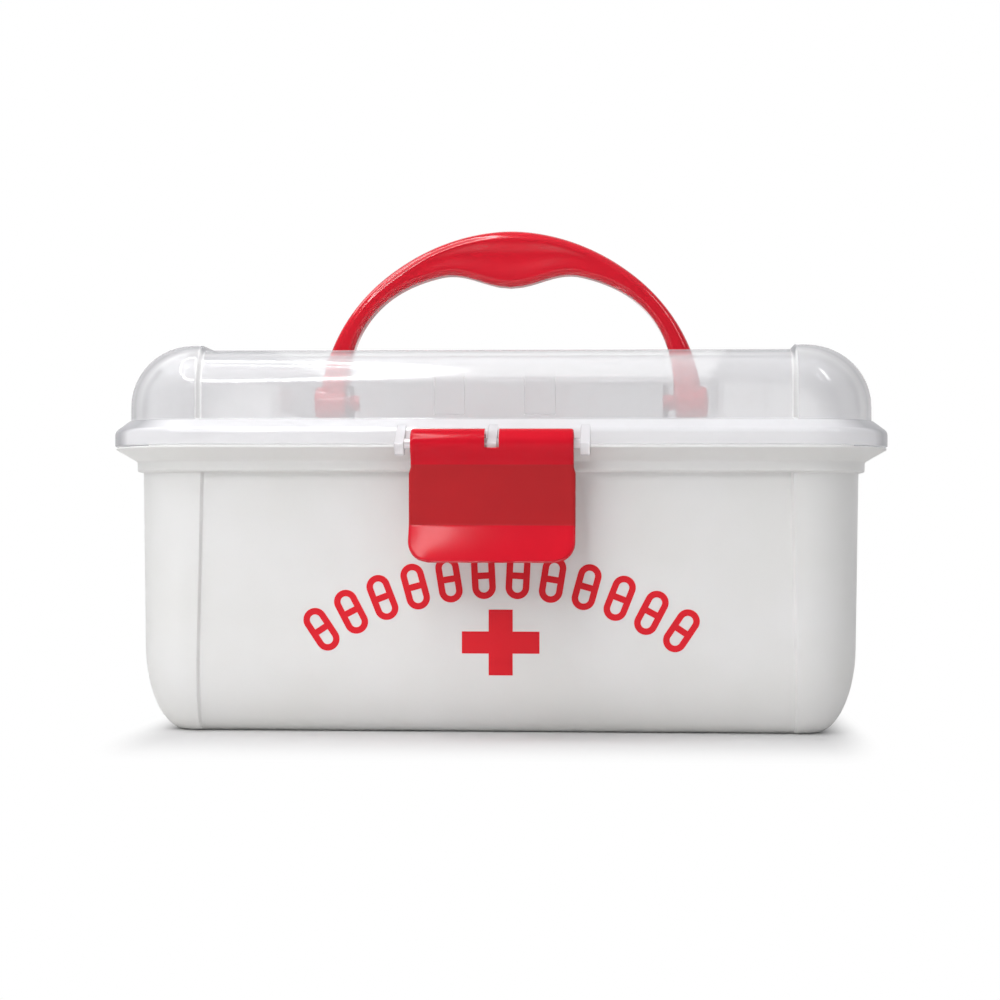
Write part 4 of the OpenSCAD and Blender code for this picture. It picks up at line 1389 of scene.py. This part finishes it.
@dataclass
class LiftTray(Moulding):
    """Lift-out tray with three pockets in front, two behind and a finger grip on its divider."""

    half_x: float = 124.1
    half_y: float = 76.6
    radius: float = 18.6
    floor: float = 62.2
    top: float = 94.2
    wall: float = 1.8
    divider: float = 11.97
    pocket_radius: float = 4.0
    pocket_foot: float = 2.4
    # Insets with heights over the floor at the foot, and with drops under the top at the rims.
    foot_line: tuple[Flat, ...] = ((2.0, 0.0), (0.6, 0.6), (0.0, 2.0))
    rim_line: tuple[Flat, ...] = ((0.0, 0.4), (0.12, 0.12), (0.4, 0.0))
    pocket_rim: tuple[Flat, ...] = ((-0.3, 0.0), (-0.08, 0.1), (0.0, 0.35))
    grip_half: float = 30.0
    grip_rise: float = 4.0
    grip_root: float = 8.0
    grip_radius: float = 2.5
    slot_margin: float = 8.0
    slot_half: float = 2.6
    slot_radius: float = 2.4
    slot_drop: float = 1.6

    def pockets(self) -> list[tuple[float, float, float, float, list[float]]]:
        """Lays out the pockets.

        Returns:
            Each pocket's left, right, front and back, and its corner radii from the back right anticlockwise.
        """
        inner_x, inner_y = self.half_x - self.wall, self.half_y - self.wall
        big, small = self.radius - self.wall, self.pocket_radius
        third = 2 * inner_x / 3
        half = self.wall / 2
        front, back = self.divider - half, self.divider + half
        return [(-inner_x, third - inner_x - half, -inner_y, front, [small, small, big, small]),
                (third - inner_x + half, inner_x - third - half, -inner_y, front, [small] * 4),
                (inner_x - third + half, inner_x, -inner_y, front, [small, small, small, big]),
                (-inner_x, -half, back, inner_y, [small, big, small, small]),
                (half, inner_x, back, inner_y, [big, small, small, small])]

    def pocket_loop(self, pocket: tuple[float, float, float, float, list[float]], inset: float,
                    z: float) -> list[Solid]:
        """Draws a pocket's outline.

        Args:
            pocket: The pocket's sides and corner radii.
            inset: How far the outline is set in.
            z: Its height.

        Returns:
            The outline, anticlockwise from the back right.
        """
        x0, x1, y0, y1, radii = pocket
        loop: list[Solid] = []
        corners = ((x1, y1, -1, -1, 0), (x0, y1, 1, -1, 90), (x0, y0, 1, 1, 180), (x1, y0, -1, 1, 270))
        for (x, y, sx, sy, start), r in zip(corners, radii):
            bend = arc((x + sx * r, y + sy * r), max(0.4, r - inset), start, start + 90, 6)
            loop += [(*p, z) for p in bend]
        return loop

    def grip(self) -> None:
        """Adds the finger grip with its slot."""
        slot = [(x, z + self.top - self.slot_drop) for x, z in rounded_rectangle(
            self.grip_half - self.slot_margin, self.slot_half, self.slot_radius, 5)]
        low, high = self.top - self.grip_root, self.top + self.grip_rise
        plate = rounded([(-self.grip_half, low), (self.grip_half, low), (self.grip_half, high),
                         (-self.grip_half, high)], [0, 0, self.grip_radius, self.grip_radius], 5)
        half = self.wall / 2 + 0.02
        faces = (self.divider - half, self.divider + half)
        for y in faces:
            self.skin.hole_plate([[(x, y, z) for x, z in loop] for loop in (plate, slot)])
        for loop in (plate, slot):
            self.skin.grid([[(x, y, z) for x, z in loop] for y in faces], looped=True)

    def build(self) -> bpy.types.Object:
        """Builds the tray.

        Returns:
            The tray.
        """

        def outer(inset: float, z: float) -> list[Solid]:
            """Returns the tray's own outline, set in by a distance, at a height."""
            return [(x, y, z) for x, y in rounded_rectangle(self.half_x - inset, self.half_y - inset,
                                                            self.radius - inset, 10)]

        side = [*[(inset, self.floor + rise) for inset, rise in self.foot_line],
                *[(inset, self.top - drop) for inset, drop in self.rim_line]]
        rows = self.skin.grid([outer(inset, z) for inset, z in side], looped=True)
        self.skin.face(rows[0])
        foot, bottom = self.pocket_foot, self.floor + self.wall
        levels = [*[(inset, self.top - drop) for inset, drop in self.pocket_rim],
                  *[(foot * (1 - c), bottom + foot * (1 - s)) for c, s in quarter(4)]]
        holes = []
        for pocket in self.pockets():
            loops = [self.pocket_loop(pocket, inset, z) for inset, z in levels]
            holes.append(loops[0])
            self.skin.face(self.skin.grid(loops, looped=True)[-1])
        self.skin.hole_plate([outer(self.rim_line[-1][0], self.top), *holes])
        self.grip()
        piece = self.skin.finish("lift_tray_moulding", [WHITE_TRAY.material()])
        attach(piece, Body.TRAY.value)
        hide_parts("tray")
        return piece


# Print and catch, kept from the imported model


class KeptPieces:
    """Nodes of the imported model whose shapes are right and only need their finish."""

    def dress(self) -> list[bpy.types.Object]:
        """Gives the printed figures their ink and the catch its plastic.

        Returns:
            The dressed pieces.
        """
        ink = RED_INK.material()
        finishes = {"front_cross": ink, "latch_catch": RED_PLATE.material(), "front_motif": ink}
        pieces = []
        for node, material in finishes.items():
            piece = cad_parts[node]
            if not piece.material_slots:
                piece.data.materials.append(material)
            for place in piece.material_slots:
                place.material = material
            pieces.append(piece)
        return pieces


# Studio


@dataclass(frozen=True)
class Lamp:
    """One soft lamp, its size in metres; it may only light the case, or only show as a reflection in it."""

    name: str
    place: Solid
    aim: Solid
    size: Flat
    power: float
    rimmed: bool = False
    lights: bool = True
    shows: bool = True


@dataclass
class Studio:
    """Pale floor, white surroundings, soft lamps and the camera."""

    camera_place: Solid = (46.8, -883.3, 71.8)
    yaw: float = 0.0561
    pitch: float = 0.014
    roll: float = 0.0019
    focal_pixels: float = 2272.0
    frame_pixels: float = 1000.0
    floor_half: float = 4000.0
    floor_drop: float = 0.05
    shadow_core: Solid = (0.112, 0.07, 1.0)
    shadow_narrowing: Solid = (5.0, 1.0, 0.0)
    shadow_reach: Flat = (0.01, 0.11)
    lamps: list[Lamp] = field(default_factory=lambda: [
        Lamp("key softbox", (-385.0, -600.0, 890.0), (-385.0, -255.0, 278.0), (0.6, 1.36), 11.5, rimmed=True),
        Lamp("top bank", (0.0, 100.0, 1300.0), (0.0, 0.0, 80.0), (1.3, 0.8), 2.0, shows=False),
        Lamp("upper left panel", (-640.0, 60.0, 880.0), (-45.0, 0.0, 180.0), (0.5, 0.5), 2.6, lights=False),
        Lamp("right strip", (876.0, -639.0, 814.0), (113.0, -85.0, 129.0), (0.1, 0.5), 1.6, lights=False),
    ])
    rim_band: Flat = (0.41, 0.455)
    rim_strength: Flat = (0.2, 3.0)
    ceiling_band: Flat = (0.15, 0.75)
    back_band: Flat = (0.2, 0.8)
    overhead: float = 0.3
    level_side: float = 0.12
    fill: float = 0.56
    fill_colour: str = "#f4f4f6"
    # Painted shade: near the case the eye sees this grey floor, darker than the white beyond, under the
    # lamps' shadows.
    floor_seen: str = "#cdcdcd"
    # Painted light: a faint glow that the eye sees on the floor near the case.
    floor_glow: float = 0.02
    floor_colour: str = "#dfdedc"

    def place(self, name: str, data: bpy.types.ID, place: Solid, look: Vector) -> bpy.types.Object:
        """Hangs a lamp or the camera.

        Args:
            name: Its name.
            data: The lamp or camera.
            place: Where it hangs.
            look: The direction that it looks in.

        Returns:
            The object, linked to the scene.
        """
        piece = bpy.data.objects.new(name, data)
        piece.location = [c * MM for c in place]
        piece.rotation_mode = "QUATERNION"
        piece.rotation_quaternion = look.to_track_quat("-Z", "Y")
        bpy.context.scene.collection.objects.link(piece)
        return piece

    def camera(self) -> None:
        """Makes the camera at the photograph's place."""
        data = bpy.data.cameras.new("camera")
        data.sensor_width = 36.0
        data.lens = self.focal_pixels / self.frame_pixels * data.sensor_width
        data.clip_start, data.clip_end = 0.01, 50.0
        level = math.cos(self.pitch)
        look = Vector((-math.sin(self.yaw) * level, math.cos(self.yaw) * level, math.sin(self.pitch)))
        piece = self.place("camera", data, self.camera_place, look)
        piece.rotation_quaternion = look.to_track_quat("-Z", "Y") @ Quaternion((0, 0, 1), self.roll)
        bpy.context.scene.camera = piece

    def surroundings(self) -> None:
        """Makes a world that is white to the eye and a dim room under a pale ceiling to reflections."""
        world = bpy.data.worlds.new("white studio")
        bpy.context.scene.world = world
        world.use_nodes = True
        world.node_tree.nodes.clear()
        add = partial(add_node, world.node_tree)
        rays = add("LightPath").outputs
        seen = add("Math", {"operation": "MAXIMUM", 0: rays["Is Camera Ray"], 1: rays["Is Transmission Ray"]})
        way = add("SeparateXYZ", {0: add("TexCoord").outputs["Generated"]}).outputs
        up = add("MapRange", {"From Min": self.ceiling_band[0], "From Max": self.ceiling_band[1],
                              "To Min": self.level_side, "To Max": self.overhead,
                              "interpolation_type": "SMOOTHSTEP", "Value": way["Z"]})
        behind = add("MapRange", {"From Min": self.back_band[0], "From Max": self.back_band[1],
                                  "Value": way["Y"]})
        room = add("Math", {"operation": "MAXIMUM", 0: up, 1: behind})
        mirror = add("Background", {"Color": WHITE, "Strength": room})
        white = add("Background", {"Color": WHITE, "Strength": 1.0})
        soft = add("Background", {"Color": linear(self.fill_colour), "Strength": self.fill})
        unseen = add("MixShader", {0: rays["Is Glossy Ray"], 1: soft, 2: mirror})
        add("OutputWorld", {"Surface": add("MixShader", {0: seen, 1: unseen, 2: white})})

    def floor(self) -> None:
        """Makes the floor, white to the eye away from the case and shadowed near it."""
        skin = Skin()
        corners = ((-1, -1), (1, -1), (1, 1), (-1, 1))
        skin.polygon([(x * self.floor_half, y * self.floor_half, -self.floor_drop) for x, y in corners])
        material = empty_material("pale floor")
        add = partial(add_node, material.node_tree)
        spot = add("TexCoord").outputs["Object"]
        steps = (("ABSOLUTE", None), ("SUBTRACT", self.shadow_core), ("MAXIMUM", (0.0, 0.0, 0.0)),
                 ("MULTIPLY", self.shadow_narrowing), ("LENGTH", None))
        for operation, value in steps:
            spot = add("VectorMath", {"operation": operation, 0: spot, **({1: value} if value else {})})
        far = add("MapRange", {"From Min": self.shadow_reach[0], "From Max": self.shadow_reach[1],
                               "interpolation_type": "SMOOTHSTEP", "Value": spot})
        to_eye = add("LightPath").outputs["Is Camera Ray"]
        plain = add("BsdfDiffuse", {"Color": linear(self.floor_seen)})
        # Painted light: the floor's faint glow to the eye.
        lift = add("Emission", {"Color": WHITE, "Strength": self.floor_glow})
        near = add("MixShader", {0: to_eye, 1: add("BsdfDiffuse", {"Color": linear(self.floor_colour)}),
                                 2: add("AddShader", {0: plain, 1: lift})})
        share = add("Math", {"operation": "MULTIPLY", 0: far, 1: to_eye})
        white = add("Emission", {"Color": WHITE, "Strength": 1.0})
        add("OutputMaterial", {"Surface": add("MixShader", {0: share, 1: near, 2: white})})
        skin.finish("floor", [material])

    def light(self) -> None:
        """Hangs the lamps."""
        for lamp in self.lamps:
            data = bpy.data.lights.new(lamp.name, "AREA")
            data.shape = "ELLIPSE" if lamp.rimmed else "RECTANGLE"
            data.size, data.size_y = lamp.size
            data.energy = lamp.power
            if lamp.rimmed:
                self.rim_glow(data)
            piece = self.place(lamp.name, data, lamp.place, Vector(lamp.aim) - Vector(lamp.place))
            piece.visible_glossy = lamp.shows
            piece.visible_diffuse = lamp.lights

    def rim_glow(self, lamp: bpy.types.Light) -> None:
        """Makes a lamp brighter along its edge than in its middle.

        Args:
            lamp: The lamp.
        """
        lamp.use_nodes = True
        lamp.node_tree.nodes.clear()
        add = partial(add_node, lamp.node_tree)
        spot = add("NewGeometry").outputs["Parametric"]
        centred = add("VectorMath", {"operation": "SUBTRACT", 0: spot, 1: (0.5, 0.5, 0.0)})
        glow = add("MapRange", {"From Min": self.rim_band[0], "From Max": self.rim_band[1],
                                "To Min": self.rim_strength[0], "To Max": self.rim_strength[1],
                                "interpolation_type": "SMOOTHSTEP",
                                "Value": add("VectorMath", {"operation": "LENGTH", 0: centred})})
        add("OutputLight", {"Surface": add("Emission", {"Color": WHITE, "Strength": glow})})

    def build(self) -> None:
        """Builds the studio."""
        self.camera()
        self.surroundings()
        self.floor()
        self.light()
        bpy.context.scene.view_settings.view_transform = "Standard"


def main() -> None:
    """Builds the studio and the case in order."""
    logging.basicConfig(level=logging.INFO, format="%(name)s: %(message)s")
    Studio().build()
    LOG.info("studio")
    for maker in (CaseBody(), ClearLid(), CarryHandle(), SnapLatch(), LiftTray()):
        piece = maker.build()
        LOG.info("%s: %d faces", piece.name, len(piece.data.polygons))
    for piece in KeptPieces().dress():
        LOG.info("%s dressed", piece.name)


if __name__ == "__main__":
    main()
